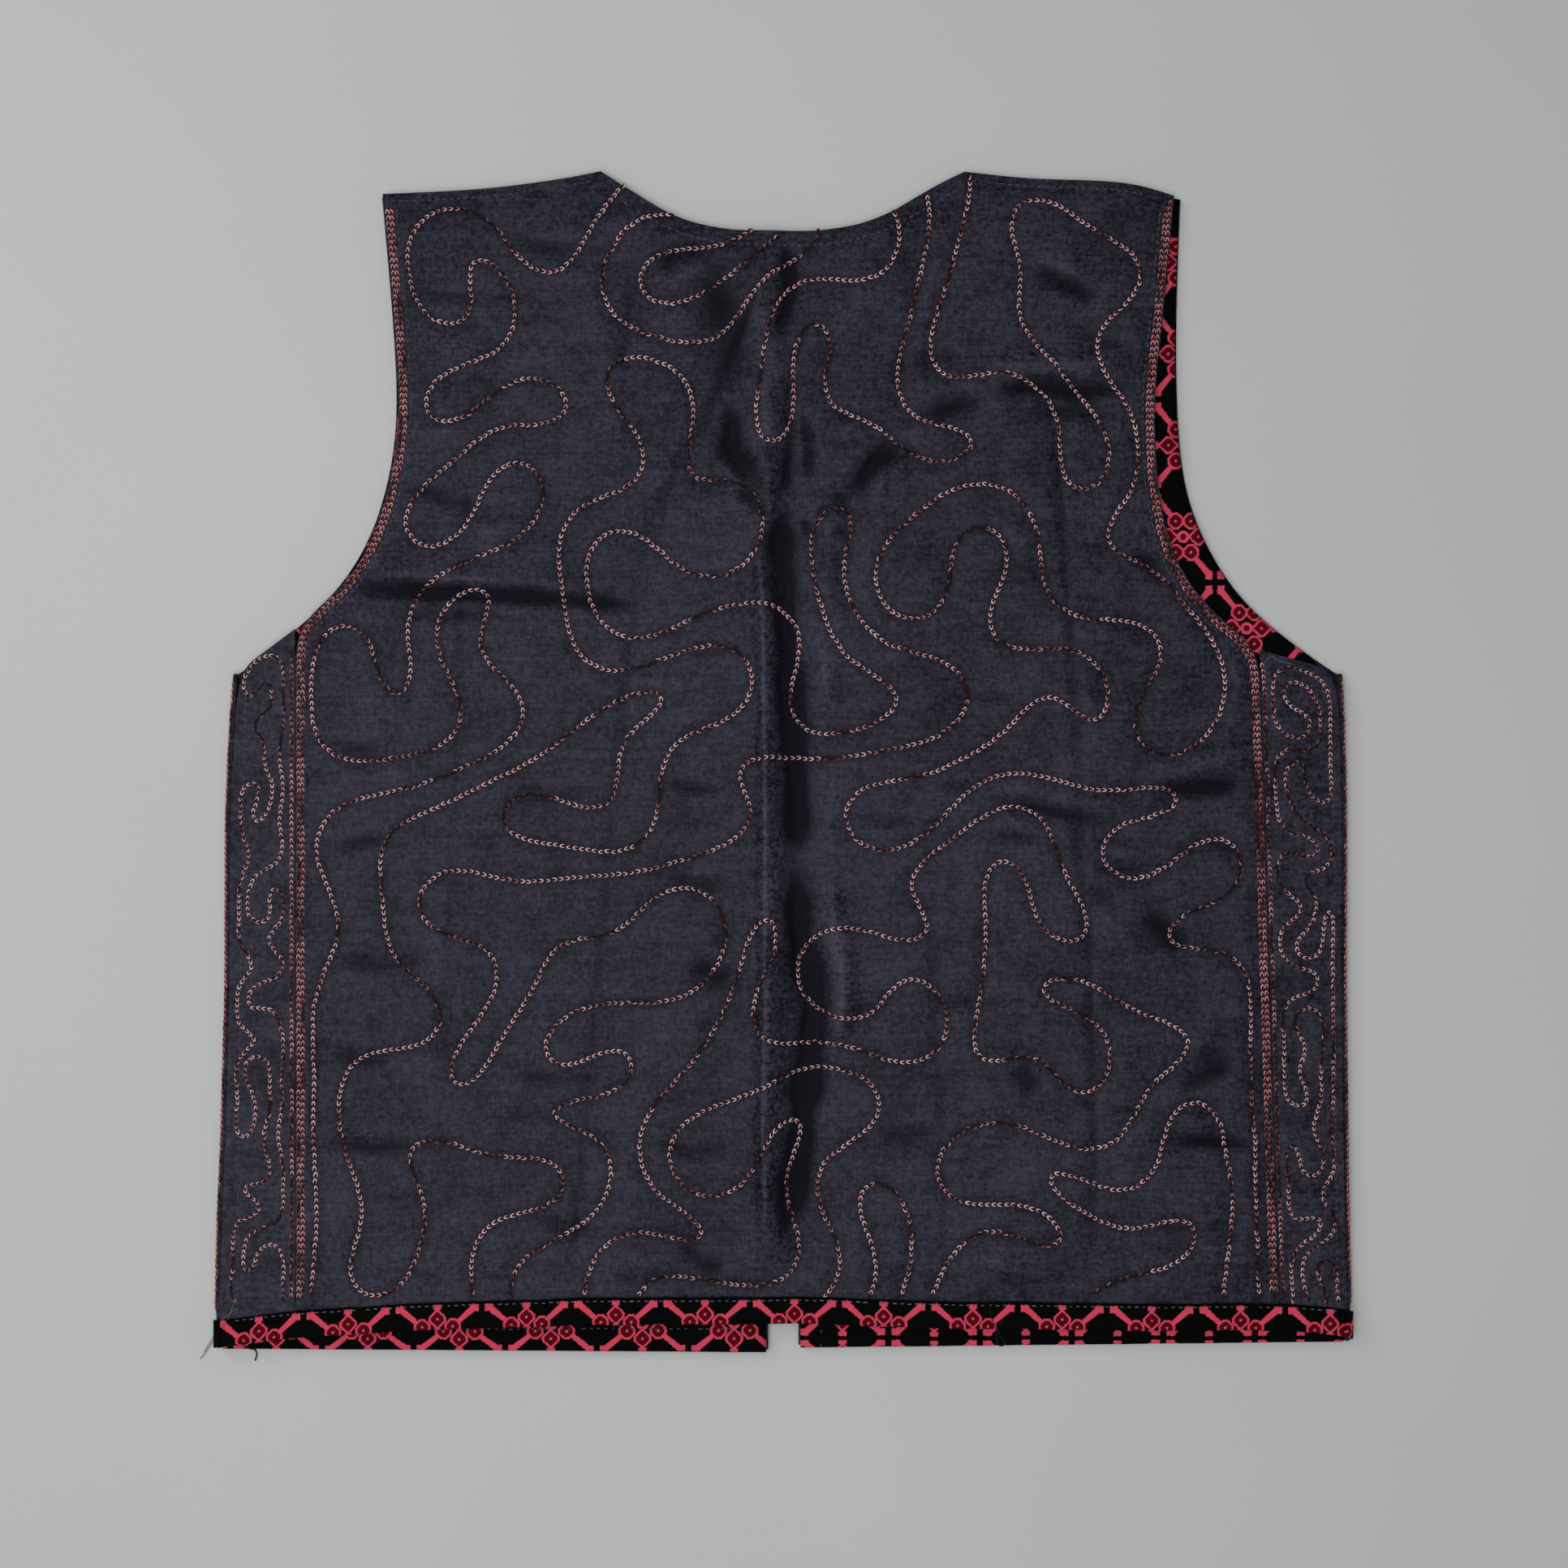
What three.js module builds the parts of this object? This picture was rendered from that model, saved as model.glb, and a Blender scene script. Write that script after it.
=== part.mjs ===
// Sleeveless folk vest, lying flat on its fronts with the back up. Millimetres, +Z up, +Y towards the neck.
// Every cloth is a wall of its own, with a gap of SEAM to its neighbours. From the bottom up: two fronts that turn
// up round the side folds, their printed lining, which wraps the fronts' hem as a band, the back between two side
// panels, and the printed band round the hem of the back, closed at each side fold by a short corner.
import * as THREE from "three";

// ---- driving dimensions ----
const LENGTH = 503; // highest point of the shoulders to the fronts' hem
const CLOTH = 1.0; // wall of every cloth
const SEAM = 0.3; // gap between pieces
const LAYER = CLOTH + SEAM; // rise from one cloth to the next
const BACK_REST = 3.6; // underside of the back, a little clear of the lining
const HEM_LIFT = 4 * LAYER - BACK_REST; // rise of the back over the bands at the hem
const SHOULDER_DROP = BACK_REST - 2 * LAYER; // fall of the back to the shoulder seam
const SHOULDER_REACH = 26; // distance over which it falls
const BAND_HEIGHT = 11.6; // printed band on the outside of the hem
const BAND_TURN_IN = 7; // hidden leaf of the back's band
const HEM_EASE = 9; // distance over which a cloth comes down off the band
const LINING_INSET = 0.8; // the lining stops this far inside the fronts' cut edges
const CENTRE_GAP = 6.5; // half of the gap between the fronts at the hem
const FRONT_NECK_DEPTH = 172; // fall of the fronts' neckline below the shoulders
const FOLD_STEPS = 8; // facets round the half turn of a side fold
const UNDERARM_Y = 289; // foot of the armhole, at the side fold
const SIDE_SHARE = 0.6; // share of a panel's side edge, and of its rows, below the underarm
const HEM_CORNER = 0.9; // softened corner where a band turns round an edge

// Side folds: how far the vest reaches to each side of the middle, from the hem up to the underarm.
const SIDE_FOLD = {
  left: [
    { y: 0, half: 242.5 },
    { y: 58, half: 241.4 },
    { y: 92, half: 239.8 },
    { y: 160, half: 238.0 },
    { y: 230, half: 238.0 },
    { y: 272, half: 236.0 },
    { y: UNDERARM_Y, half: 234.4 },
  ],
  right: [
    { y: 0, half: 242.5 },
    { y: 58, half: 241.2 },
    { y: 160, half: 239.9 },
    { y: 230, half: 240.1 },
    { y: 272, half: 239.4 },
    { y: UNDERARM_Y, half: 238.2 },
  ],
};

// Armholes from the underarm to the shoulder tip. The back has slipped over, so its right edge lies further in.
const FRONT_ARMHOLE = {
  left: [
    { half: 201.8, y: 313.0 },
    { half: 182.2, y: 334.0 },
    { half: 169.7, y: 365.0 },
    { half: 164.6, y: 396.0 },
    { half: 166.6, y: 440.0 },
    { half: 171.2, y: 492.6 },
  ],
  right: [
    { half: 202.5, y: 313.0 },
    { half: 185.3, y: 334.0 },
    { half: 171.5, y: 365.0 },
    { half: 168.2, y: 396.0 },
    { half: 167.6, y: 440.0 },
    { half: 169.4, y: 491.6 },
  ],
};
const BACK_ARMHOLE = {
  left: [
    { half: 207.3, y: 308.4 },
    { half: 181.4, y: 333.0 },
    { half: 168.7, y: 364.5 },
    { half: 163.4, y: 396.0 },
    { half: 165.6, y: 440.0 },
    { half: 170.4, y: 493.2 },
  ],
  right: [
    { half: 202.3, y: 299.5 },
    { half: 177.7, y: 320.0 },
    { half: 162.8, y: 347.8 },
    { half: 157.4, y: 398.0 },
    { half: 161.0, y: 437.5 },
    { half: 166.3, y: 492.4 },
  ],
};
const SIDE_SEAM_HEM = { left: 207.3, right: 211.0 }; // where the back meets the side panels at the hem

// Shoulder seams from tip to neck, and the neckline between them.
const SHOULDER = {
  left: [
    { half: 170.4, y: 493.2 },
    { half: 130.0, y: 495.2 },
    { half: 97.0, y: 499.2 },
    { half: 77.8, y: 503.0 },
  ],
  right: [
    { half: 166.3, y: 492.4 },
    { half: 146.0, y: 498.2 },
    { half: 104.0, y: 499.8 },
    { half: 77.2, y: 502.8 },
  ],
};
const BACK_NECK = [
  { x: -77.8, y: 503.0 },
  { x: -53.6, y: 487.6 },
  { x: -38.0, y: 479.8 },
  { x: -10.0, y: 477.3 },
  { x: 22.0, y: 478.0 },
  { x: 42.0, y: 482.8 },
  { x: 60.0, y: 494.4 },
  { x: 77.2, y: 502.8 },
];

// Hem of the back, which hangs short of the fronts' hems, and the fronts' hems below it.
const BACK_HEM = [
  { x: -243, y: 3.4 },
  { x: -190, y: 8.2 },
  { x: -150, y: 11.0 },
  { x: -60, y: 12.8 },
  { x: 10, y: 13.2 },
  { x: 60, y: 11.3 },
  { x: 150, y: 10.4 },
  { x: 215, y: 10.0 },
  { x: 243, y: 7.6 },
];
const FRONT_HEM = {
  left: { centre: 0, fold: 1.6 },
  right: { centre: 2.0, fold: 4.6 },
};

// The largest folds of the back: a soft ridge along a line, or a trough where the rise is negative.
const BACK_FOLDS = [
  { name: "centre ridge, upper", x0: -6, y0: 474, x1: -8, y1: 330, rise: 2.0, width: 9 },
  { name: "centre ridge, lower", x0: -8, y0: 330, x1: -7, y1: 30, rise: 2.8, width: 9 },
  { name: "centre trough", x0: 5, y0: 380, x1: 7, y1: 50, rise: -0.8, width: 8 },
  { name: "pull from the right armhole", x0: 66, y0: 392, x1: 152, y1: 408, rise: 1.8, width: 16 },
  { name: "fold across the left waist", x0: -184, y0: 322, x1: -66, y1: 316, rise: 1.5, width: 15 },
  { name: "fold across the right waist", x0: 84, y0: 232, x1: 196, y1: 242, rise: 1.4, width: 15 },
];

// Finishes of the two cloths.
const CLOTHS = {
  satin: { color: 0x2f3040, roughness: 0.5, metalness: 0 },
  print: { color: 0x6b1a26, roughness: 0.8, metalness: 0 },
};
const SIGN = { left: -1, right: 1 };

// ---- small helpers ----
const smooth = (t) => {
  const s = Math.min(1, Math.max(0, t));
  return s * s * (3 - 2 * s);
};

// Value of a table's column at a place along its key column, smoothly between its rows.
function lookUp(table, key, at, value) {
  const last = table.length - 2;
  const found = table.findIndex((row, i) => i <= last && at <= table[i + 1][key]);
  const i = found < 0 ? last : found;
  const t = (at - table[i][key]) / (table[i + 1][key] - table[i][key]);
  return table[i][value] + (table[i + 1][value] - table[i][value]) * smooth(t);
}

// A smooth plan curve through points, as a function of the share 0..1 of its length.
function curveThrough(points) {
  const line = new THREE.SplineCurve(points.map(([x, y]) => new THREE.Vector2(x, y)));
  return (t) => line.getPointAt(Math.min(1, Math.max(0, t)));
}

// Two curves end to end: the first up to the share `at`, the second after it.
const joined = (first, second, at) => (t) => (t <= at ? first(t / at) : second((t - at) / (1 - at)));

// A plan point inside four edge curves (a Coons patch): u runs across from `inner` to `outer`, v up from the hem.
function patch({ bottom, top, inner, outer }) {
  const corner = [bottom(0), bottom(1), top(0), top(1)];
  return (u, v) => {
    const edges = [bottom(u), top(u), inner(v), outer(v)];
    const blend = (k) =>
      (1 - v) * edges[0][k] + v * edges[1][k] + (1 - u) * edges[2][k] + u * edges[3][k] -
      (1 - v) * ((1 - u) * corner[0][k] + u * corner[1][k]) -
      v * ((1 - u) * corner[2][k] + u * corner[3][k]);
    return new THREE.Vector2(blend("x"), blend("y"));
  };
}

// Shares in equal steps between breaks, with a step at each break.
function steps(breaks, counts) {
  const spans = counts.flatMap((n, i) =>
    Array.from({ length: n }, (_, k) => breaks[i] + ((breaks[i + 1] - breaks[i]) * (k + 1)) / n),
  );
  return [breaks[0], ...spans];
}

// A closed wall over a grid of columns and rows. at(i, j) gives the outer and the inner point of a grid corner, and
// has(i, j) says which cells are cloth; the two faces are joined along every edge that only one cell uses.
function wall(columns, rows, at, has = () => true) {
  const position = [];
  const index = [];
  const corners = new Map();
  const corner = (i, j) => {
    const key = i + "," + j;
    if (!corners.has(key)) {
      const { outer, inner } = at(i, j);
      corners.set(key, position.length / 3);
      position.push(...outer.toArray(), ...inner.toArray());
    }
    return corners.get(key);
  };
  const edges = new Set();
  for (let j = 0; j < rows - 1; j++) {
    for (let i = 0; i < columns - 1; i++) {
      if (!has(i, j)) continue;
      const [a, b, c, d] = [corner(i, j), corner(i + 1, j), corner(i + 1, j + 1), corner(i, j + 1)];
      index.push(a, b, c, a, c, d, d + 1, c + 1, b + 1, d + 1, b + 1, a + 1);
      for (const [from, to] of [[a, b], [b, c], [c, d], [d, a]]) edges.add(from + "," + to);
    }
  }
  for (const edge of edges) {
    const [from, to] = edge.split(",").map(Number);
    if (!edges.has(to + "," + from)) index.push(to, from, from + 1, to, from + 1, to + 1);
  }
  const geometry = new THREE.BufferGeometry();
  geometry.setAttribute("position", new THREE.Float32BufferAttribute(position, 3));
  geometry.setIndex(index);
  return facingOut(geometry);
}

// Turns the faces of a geometry round if they point inwards.
function facingOut(geometry) {
  const tri = geometry.index.array;
  const [a, b, c] = [new THREE.Vector3(), new THREE.Vector3(), new THREE.Vector3()];
  let volume = 0;
  for (let i = 0; i < tri.length; i += 3) {
    [a, b, c].forEach((p, k) => p.fromBufferAttribute(geometry.attributes.position, tri[i + k]));
    volume += a.dot(b.cross(c));
  }
  if (volume < 0) tri.reverse();
  return geometry;
}

const vest = new THREE.Group();

function addPiece(name, geometry, cloth) {
  const material = new THREE.MeshStandardMaterial({ ...CLOTHS[cloth], flatShading: true });
  const mesh = new THREE.Mesh(geometry, material);
  mesh.name = name;
  vest.add(mesh);
}

// ---- heights: the underside of each layer above the resting plane ----
const hemOfBack = (x) => lookUp(BACK_HEM, "x", x, "y");
const foldHalf = (side, y) => lookUp(SIDE_FOLD[side], "y", y, "half");

// 1 on the band at a hem, 0 well above it.
const onBand = (fromHem) => 1 - smooth((fromHem - BAND_HEIGHT - SEAM) / HEM_EASE);

function foldRise(x, y, { x0, y0, x1, y1, rise, width }) {
  const [dx, dy] = [x1 - x0, y1 - y0];
  const t = Math.min(1, Math.max(0, ((x - x0) * dx + (y - y0) * dy) / (dx * dx + dy * dy)));
  const away = Math.hypot(x - x0 - t * dx, y - y0 - t * dy);
  return rise * Math.exp(-((away / width) ** 2));
}

function shoulderY(x) {
  const rows = SHOULDER[x < 0 ? "left" : "right"].map(({ half, y }) => ({ out: -half, y }));
  return -Math.abs(x) > rows.at(-1).out ? LENGTH : lookUp(rows, "out", -Math.abs(x), "y");
}

// Back and side panels: lifted by the bands at the hem, let down to the shoulder seams, and folded between.
function backRest(x, y) {
  const fromHem = y - hemOfBack(x);
  const drop = SHOULDER_DROP * (1 - smooth((shoulderY(x) - y) / SHOULDER_REACH));
  const folds = BACK_FOLDS.reduce((sum, fold) => sum + foldRise(x, y, fold), 0);
  return BACK_REST + HEM_LIFT * onBand(fromHem) - drop + folds * smooth((fromHem - BAND_HEIGHT) / 40);
}

const frontRest = (fromHem) => LAYER * onBand(fromHem);

// Cross-section of a side fold: the half circle that the front turns through, from the resting plane up to the
// level of the side panel. In the hem the corner of the band goes round outside it.
function sideFold(side, y) {
  const fromHem = y - FRONT_HEM[side].fold;
  const low = frontRest(fromHem);
  const radius = (BACK_REST + HEM_LIFT * onBand(fromHem) + CLOTH - low) / 2;
  return { radius, centreX: foldHalf(side, y) - radius - LAYER * onBand(fromHem), centreZ: low + radius };
}

const foldEdge = (side, y) => sideFold(side, y).centreX - SEAM; // outer edge of the cloths between the folds

// ---- the pieces ----
const FRONT_COLUMNS = steps([0, 1], [8]);
const FRONT_ROWS = steps([0, 0.02, 0.043, SIDE_SHARE, 1], [1, 3, 8, 9]);
const flat = ({ x, y }, z) => ({ outer: new THREE.Vector3(x, y, z + CLOTH), inner: new THREE.Vector3(x, y, z) });
const mirrored = (rows, sign, inset = 0) => rows.map(({ half, y }) => [sign * (half - inset), y]);

// Back: one cloth from side seam to side seam, with a shallow neck between sloping shoulders.
function addBack() {
  const seamEdge = (side) => {
    const sign = SIGN[side], rows = BACK_ARMHOLE[side], hemX = sign * SIDE_SEAM_HEM[side];
    const foot = new THREE.Vector2(hemX, hemOfBack(hemX) + LAYER);
    const underarm = new THREE.Vector2(sign * rows[0].half, rows[0].y);
    return joined((t) => foot.clone().lerp(underarm, t), curveThrough(mirrored(rows, sign)), SIDE_SHARE);
  };
  const hem = (t) => {
    const x = SIDE_SEAM_HEM.right * t - SIDE_SEAM_HEM.left * (1 - t);
    return new THREE.Vector2(x, hemOfBack(x) + LAYER);
  };
  const neckShare = [0.27, 0.73]; // where the neckline starts and ends along the top edge
  const leftShoulder = curveThrough(mirrored(SHOULDER.left, SIGN.left));
  const rightShoulder = curveThrough(mirrored(SHOULDER.right, SIGN.right));
  const neck = curveThrough(BACK_NECK.map(({ x, y }) => [x, y]));
  const plan = patch({
    bottom: hem,
    top: joined(joined(leftShoulder, neck, neckShare[0] / neckShare[1]), (t) => rightShoulder(1 - t), neckShare[1]),
    inner: seamEdge("left"),
    outer: seamEdge("right"),
  });
  const us = steps([0, neckShare[0], 0.435, 0.545, neckShare[1], 1], [6, 3, 6, 4, 6]);
  const vs = steps([0, 0.024, 0.045, SIDE_SHARE, 1], [1, 2, 14, 11]);
  const geometry = wall(us.length, vs.length, (i, j) => {
    const p = plan(us[i], vs[j]);
    return flat(p, backRest(p.x, p.y));
  });
  addPiece("back_panel", geometry, "satin");
}

// Side panel: the strip between the back's seam and the side fold, cut off slanting by the armhole.
function addSidePanel(side) {
  const sign = SIGN[side], seamTop = BACK_ARMHOLE[side][0];
  const hemAt = (half) => new THREE.Vector2(sign * half, hemOfBack(sign * half) + LAYER);
  const [seamHalf, foldFootHalf] = [SIDE_SEAM_HEM[side] + SEAM, foldEdge(side, LAYER)];
  const [seamFoot, foldFoot] = [hemAt(seamHalf), hemAt(foldFootHalf)];
  const seamHead = new THREE.Vector2(sign * (seamTop.half + SEAM), seamTop.y - SEAM);
  const foldHead = new THREE.Vector2(sign * foldEdge(side, UNDERARM_Y), UNDERARM_Y + 1);
  const plan = patch({
    bottom: (t) => hemAt(seamHalf * (1 - t) + foldFootHalf * t),
    top: (t) => seamHead.clone().lerp(foldHead, t),
    inner: (t) => seamFoot.clone().lerp(seamHead, t),
    outer: (t) => {
      const y = foldFoot.y + (foldHead.y - foldFoot.y) * t;
      return new THREE.Vector2(sign * foldEdge(side, y), y);
    },
  });
  const us = steps([0, 1], [3]);
  const vs = FRONT_ROWS.filter((v) => v <= SIDE_SHARE).map((v) => v / SIDE_SHARE); // level with the front's fold
  const geometry = wall(us.length, vs.length, (i, j) => {
    const p = plan(us[i], vs[j]);
    return flat(p, backRest(p.x, p.y));
  });
  addPiece(`side_panel_${side}`, geometry, "satin");
}

// Plan of a front, or of its lining when inset: centre edge and neckline inside, fold and armhole outside.
function frontPlan(side, inset, edgeX) {
  const sign = SIGN[side], neckPoint = SHOULDER[side].at(-1), tip = FRONT_ARMHOLE[side].at(-1);
  const at = (half, y) => new THREE.Vector2(sign * half, y);
  const centre = CENTRE_GAP + inset;
  const hemY = (half) => {
    const t = (half - CENTRE_GAP) / (foldHalf(side, 0) - CENTRE_GAP);
    return FRONT_HEM[side].centre + (FRONT_HEM[side].fold - FRONT_HEM[side].centre) * t;
  };
  const bottom = (t) => {
    const half = centre + (edgeX(0) - centre) * t;
    return at(half, hemY(half) + LAYER);
  };
  const neckFoot = LENGTH - FRONT_NECK_DEPTH;
  const neckline = curveThrough([
    [sign * centre, neckFoot],
    [sign * (30 + inset), neckFoot + 52],
    [sign * (60 + inset), neckFoot + 112],
    [sign * (neckPoint.half - 0.8 + inset), neckPoint.y - 1.2 - inset],
  ]);
  const armhole = curveThrough([
    [sign * edgeX(UNDERARM_Y), UNDERARM_Y],
    ...mirrored(FRONT_ARMHOLE[side].slice(0, -1), sign, inset),
    [sign * (tip.half - inset), tip.y - inset],
  ]);
  const inner = joined((t) => bottom(0).lerp(neckline(0), t), neckline, SIDE_SHARE);
  const sideEdge = (t) => {
    const y = bottom(1).y + (UNDERARM_Y - bottom(1).y) * t;
    return at(edgeX(y), y);
  };
  const outer = joined(sideEdge, armhole, SIDE_SHARE);
  const bow = side === "left" ? -1.2 : 1.4; // the shoulder edge curves like the back's above it
  const top = (t) => inner(1).lerp(outer(1), t).add(new THREE.Vector2(0, bow * Math.sin(Math.PI * t)));
  return { hemY, plan: patch({ bottom, top, inner, outer }) };
}

// Front: flat on the resting plane, and turned up round the side fold as far as the side panel's seam.
function addFront(side) {
  const sign = SIGN[side];
  const { plan, hemY } = frontPlan(side, 0, (y) => sideFold(side, y).centreX);
  const [flatColumns, underarmRow] = [FRONT_COLUMNS.length, FRONT_ROWS.indexOf(SIDE_SHARE)];
  const cloth = (i, j) => {
    if (i < flatColumns) {
      const p = plan(FRONT_COLUMNS[i], FRONT_ROWS[j]);
      return flat(p, frontRest(p.y - hemY(Math.abs(p.x))));
    }
    const { y } = plan(1, FRONT_ROWS[j]);
    const { radius, centreX, centreZ } = sideFold(side, y);
    const angle = (Math.PI * (i - flatColumns + 1)) / FOLD_STEPS;
    const ring = (r) => new THREE.Vector3(sign * (centreX + r * Math.sin(angle)), y, centreZ - r * Math.cos(angle));
    return { outer: ring(radius - CLOTH), inner: ring(radius) };
  };
  const onCloth = (i, j) => i < flatColumns - 1 || j < underarmRow;
  const geometry = wall(flatColumns + FOLD_STEPS, FRONT_ROWS.length, cloth, onCloth);
  addPiece(`front_${side}`, geometry, "satin");
}

// A band's cross-section round a cloth edge, as distance up from the hem and height: the face of each leaf outside,
// the other face inside, and softened corners. The first leaf is `reach` long; the turn ends where the last starts.
function turnRoundEdge(reach, from, to) {
  const way = Math.sign(to - from);
  const inside = HEM_CORNER / 6;
  return [
    { outer: [reach, from], inner: [reach, from + way * CLOTH] },
    { outer: [HEM_CORNER, from], inner: [CLOTH + inside, from + way * CLOTH] },
    { outer: [0, from + way * HEM_CORNER], inner: [CLOTH, from + way * (CLOTH + inside)] },
    { outer: [0, to - way * HEM_CORNER], inner: [CLOTH, to - way * (CLOTH + inside)] },
    { outer: [HEM_CORNER, to], inner: [CLOTH + inside, to - way * CLOTH] },
  ];
}

// Lining: printed cotton inside a front. At the hem it wraps the front's edge and ends as a band on the outside.
function addLining(side) {
  const { plan, hemY } = frontPlan(side, LINING_INSET, (y) => foldEdge(side, y));
  const wrap = turnRoundEdge(BAND_HEIGHT, 0, 3 * LAYER - SEAM);
  const rows = FRONT_ROWS.slice(1);
  const geometry = wall(FRONT_COLUMNS.length, wrap.length + rows.length, (i, j) => {
    if (j >= wrap.length) {
      const p = plan(FRONT_COLUMNS[i], rows[j - wrap.length]);
      return flat(p, frontRest(p.y - hemY(Math.abs(p.x))) + LAYER);
    }
    const { x } = plan(FRONT_COLUMNS[i], 0);
    const point = ([dy, z]) => new THREE.Vector3(x, hemY(Math.abs(x)) + dy, z);
    return { outer: point(wrap[j].outer), inner: point(wrap[j].inner) };
  });
  addPiece(`lining_${side}`, geometry, "print");
}

// Band round the hem of the back and side panels: a leaf outside, the turn round the edge, and a leaf inside.
function addBackBand() {
  const rest = BACK_REST + HEM_LIFT;
  const under = rest - LAYER;
  const wrap = turnRoundEdge(BAND_HEIGHT, rest + CLOTH + LAYER, under);
  wrap.push({ outer: [BAND_TURN_IN, under], inner: [BAND_TURN_IN, under + CLOTH] });
  const xs = steps([-foldEdge("left", LAYER), foldEdge("right", LAYER)], [28]);
  const geometry = wall(xs.length, wrap.length, (i, j) => {
    const point = ([dy, z]) => new THREE.Vector3(xs[i], hemOfBack(xs[i]) + dy, z);
    return { outer: point(wrap[j].outer), inner: point(wrap[j].inner) };
  });
  addPiece("band_back", geometry, "print");
}

// Corner of the hem band: it goes round the side fold, from the fronts' band below to the back's band above.
function addBandCorner(side) {
  const sign = SIGN[side];
  const { radius, centreX, centreZ } = sideFold(side, FRONT_HEM[side].fold);
  const angles = steps([0, Math.PI], [FOLD_STEPS]);
  const heights = steps([0, BAND_HEIGHT], [2]);
  const geometry = wall(angles.length, heights.length, (i, j) => {
    const turn = angles[i] / Math.PI;
    const y = FRONT_HEM[side].fold * (1 - turn) + hemOfBack(sign * centreX) * turn + heights[j];
    const ring = (r) =>
      new THREE.Vector3(sign * (centreX + r * Math.sin(angles[i])), y, centreZ - r * Math.cos(angles[i]));
    return { outer: ring(radius + LAYER), inner: ring(radius + SEAM) };
  });
  addPiece(`band_corner_${side}`, geometry, "print");
}

addBack();
addBackBand();
for (const side of ["left", "right"]) {
  addSidePanel(side);
  addFront(side);
  addLining(side);
  addBandCorner(side);
}

const outline = new THREE.Box3().setFromObject(vest);
const middle = outline.getCenter(new THREE.Vector3());
vest.position.set(-middle.x, -middle.y, -outline.min.z);

export default vest;
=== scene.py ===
import math

import bpy
import numpy as np
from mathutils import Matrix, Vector
from mathutils.bvhtree import BVHTree
from mathutils.kdtree import KDTree


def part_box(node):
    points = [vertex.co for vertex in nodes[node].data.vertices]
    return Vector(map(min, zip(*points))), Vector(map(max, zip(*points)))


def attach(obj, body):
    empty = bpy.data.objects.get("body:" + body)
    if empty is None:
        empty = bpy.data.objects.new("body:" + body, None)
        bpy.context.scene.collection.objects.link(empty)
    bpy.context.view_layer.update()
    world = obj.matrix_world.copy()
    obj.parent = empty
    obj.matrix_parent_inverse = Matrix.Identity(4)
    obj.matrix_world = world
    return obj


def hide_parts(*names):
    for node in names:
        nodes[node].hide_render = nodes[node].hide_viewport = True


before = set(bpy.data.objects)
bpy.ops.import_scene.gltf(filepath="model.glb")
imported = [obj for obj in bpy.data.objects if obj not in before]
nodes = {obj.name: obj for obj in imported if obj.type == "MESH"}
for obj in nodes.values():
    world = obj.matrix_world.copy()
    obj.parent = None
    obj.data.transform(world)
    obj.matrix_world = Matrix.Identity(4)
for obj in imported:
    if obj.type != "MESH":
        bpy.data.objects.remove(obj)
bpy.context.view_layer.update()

# ---- The surface under the vest, the light and the camera ----
# The vest lies on a plain pale surface, in broad soft light from above and a lower light from the far left.
# The camera hangs straight over its middle. Neither the surface nor the lights are part of the vest.
VIEW_MIDDLE = (0.0003, -0.0093)
VIEW_WIDTH = 0.6665
LENS, SENSOR = 50.0, 36.0
CLOTH_TOP = 0.0046
SURFACE_DARK = (0.545, 0.55, 0.545)
SURFACE_LIGHT = (0.645, 0.65, 0.645)


def aimed_light(name, place, size, power, target=(0, 0, 0)):
    """A soft square light that faces the target."""
    lamp = bpy.data.lights.new(name, "AREA")
    lamp.shape = "SQUARE"
    lamp.size = size
    lamp.energy = power
    holder = bpy.data.objects.new(name, lamp)
    holder.location = place
    holder.rotation_euler = (Vector(target) - Vector(place)).to_track_quat("-Z", "Y").to_euler()
    bpy.context.collection.objects.link(holder)


aimed_light("window light", (-0.30, -0.16, 1.55), 1.5, 15.5)
aimed_light("low side light", (-1.3, 0.8, 0.9), 0.6, 5.0)

world = bpy.data.worlds.new("room")
bpy.context.scene.world = world
world.use_nodes = True
world.node_tree.nodes["Background"].inputs["Color"].default_value = (0.97, 0.985, 1.0, 1.0)
world.node_tree.nodes["Background"].inputs["Strength"].default_value = 0.22
bpy.context.scene.view_settings.view_transform = "Standard"

camera = bpy.data.objects.new("camera", bpy.data.cameras.new("camera"))
camera.data.lens = LENS
camera.data.sensor_width = SENSOR
camera.location = (*VIEW_MIDDLE, CLOTH_TOP + VIEW_WIDTH * LENS / SENSOR)
bpy.context.collection.objects.link(camera)
bpy.context.scene.camera = camera


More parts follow.
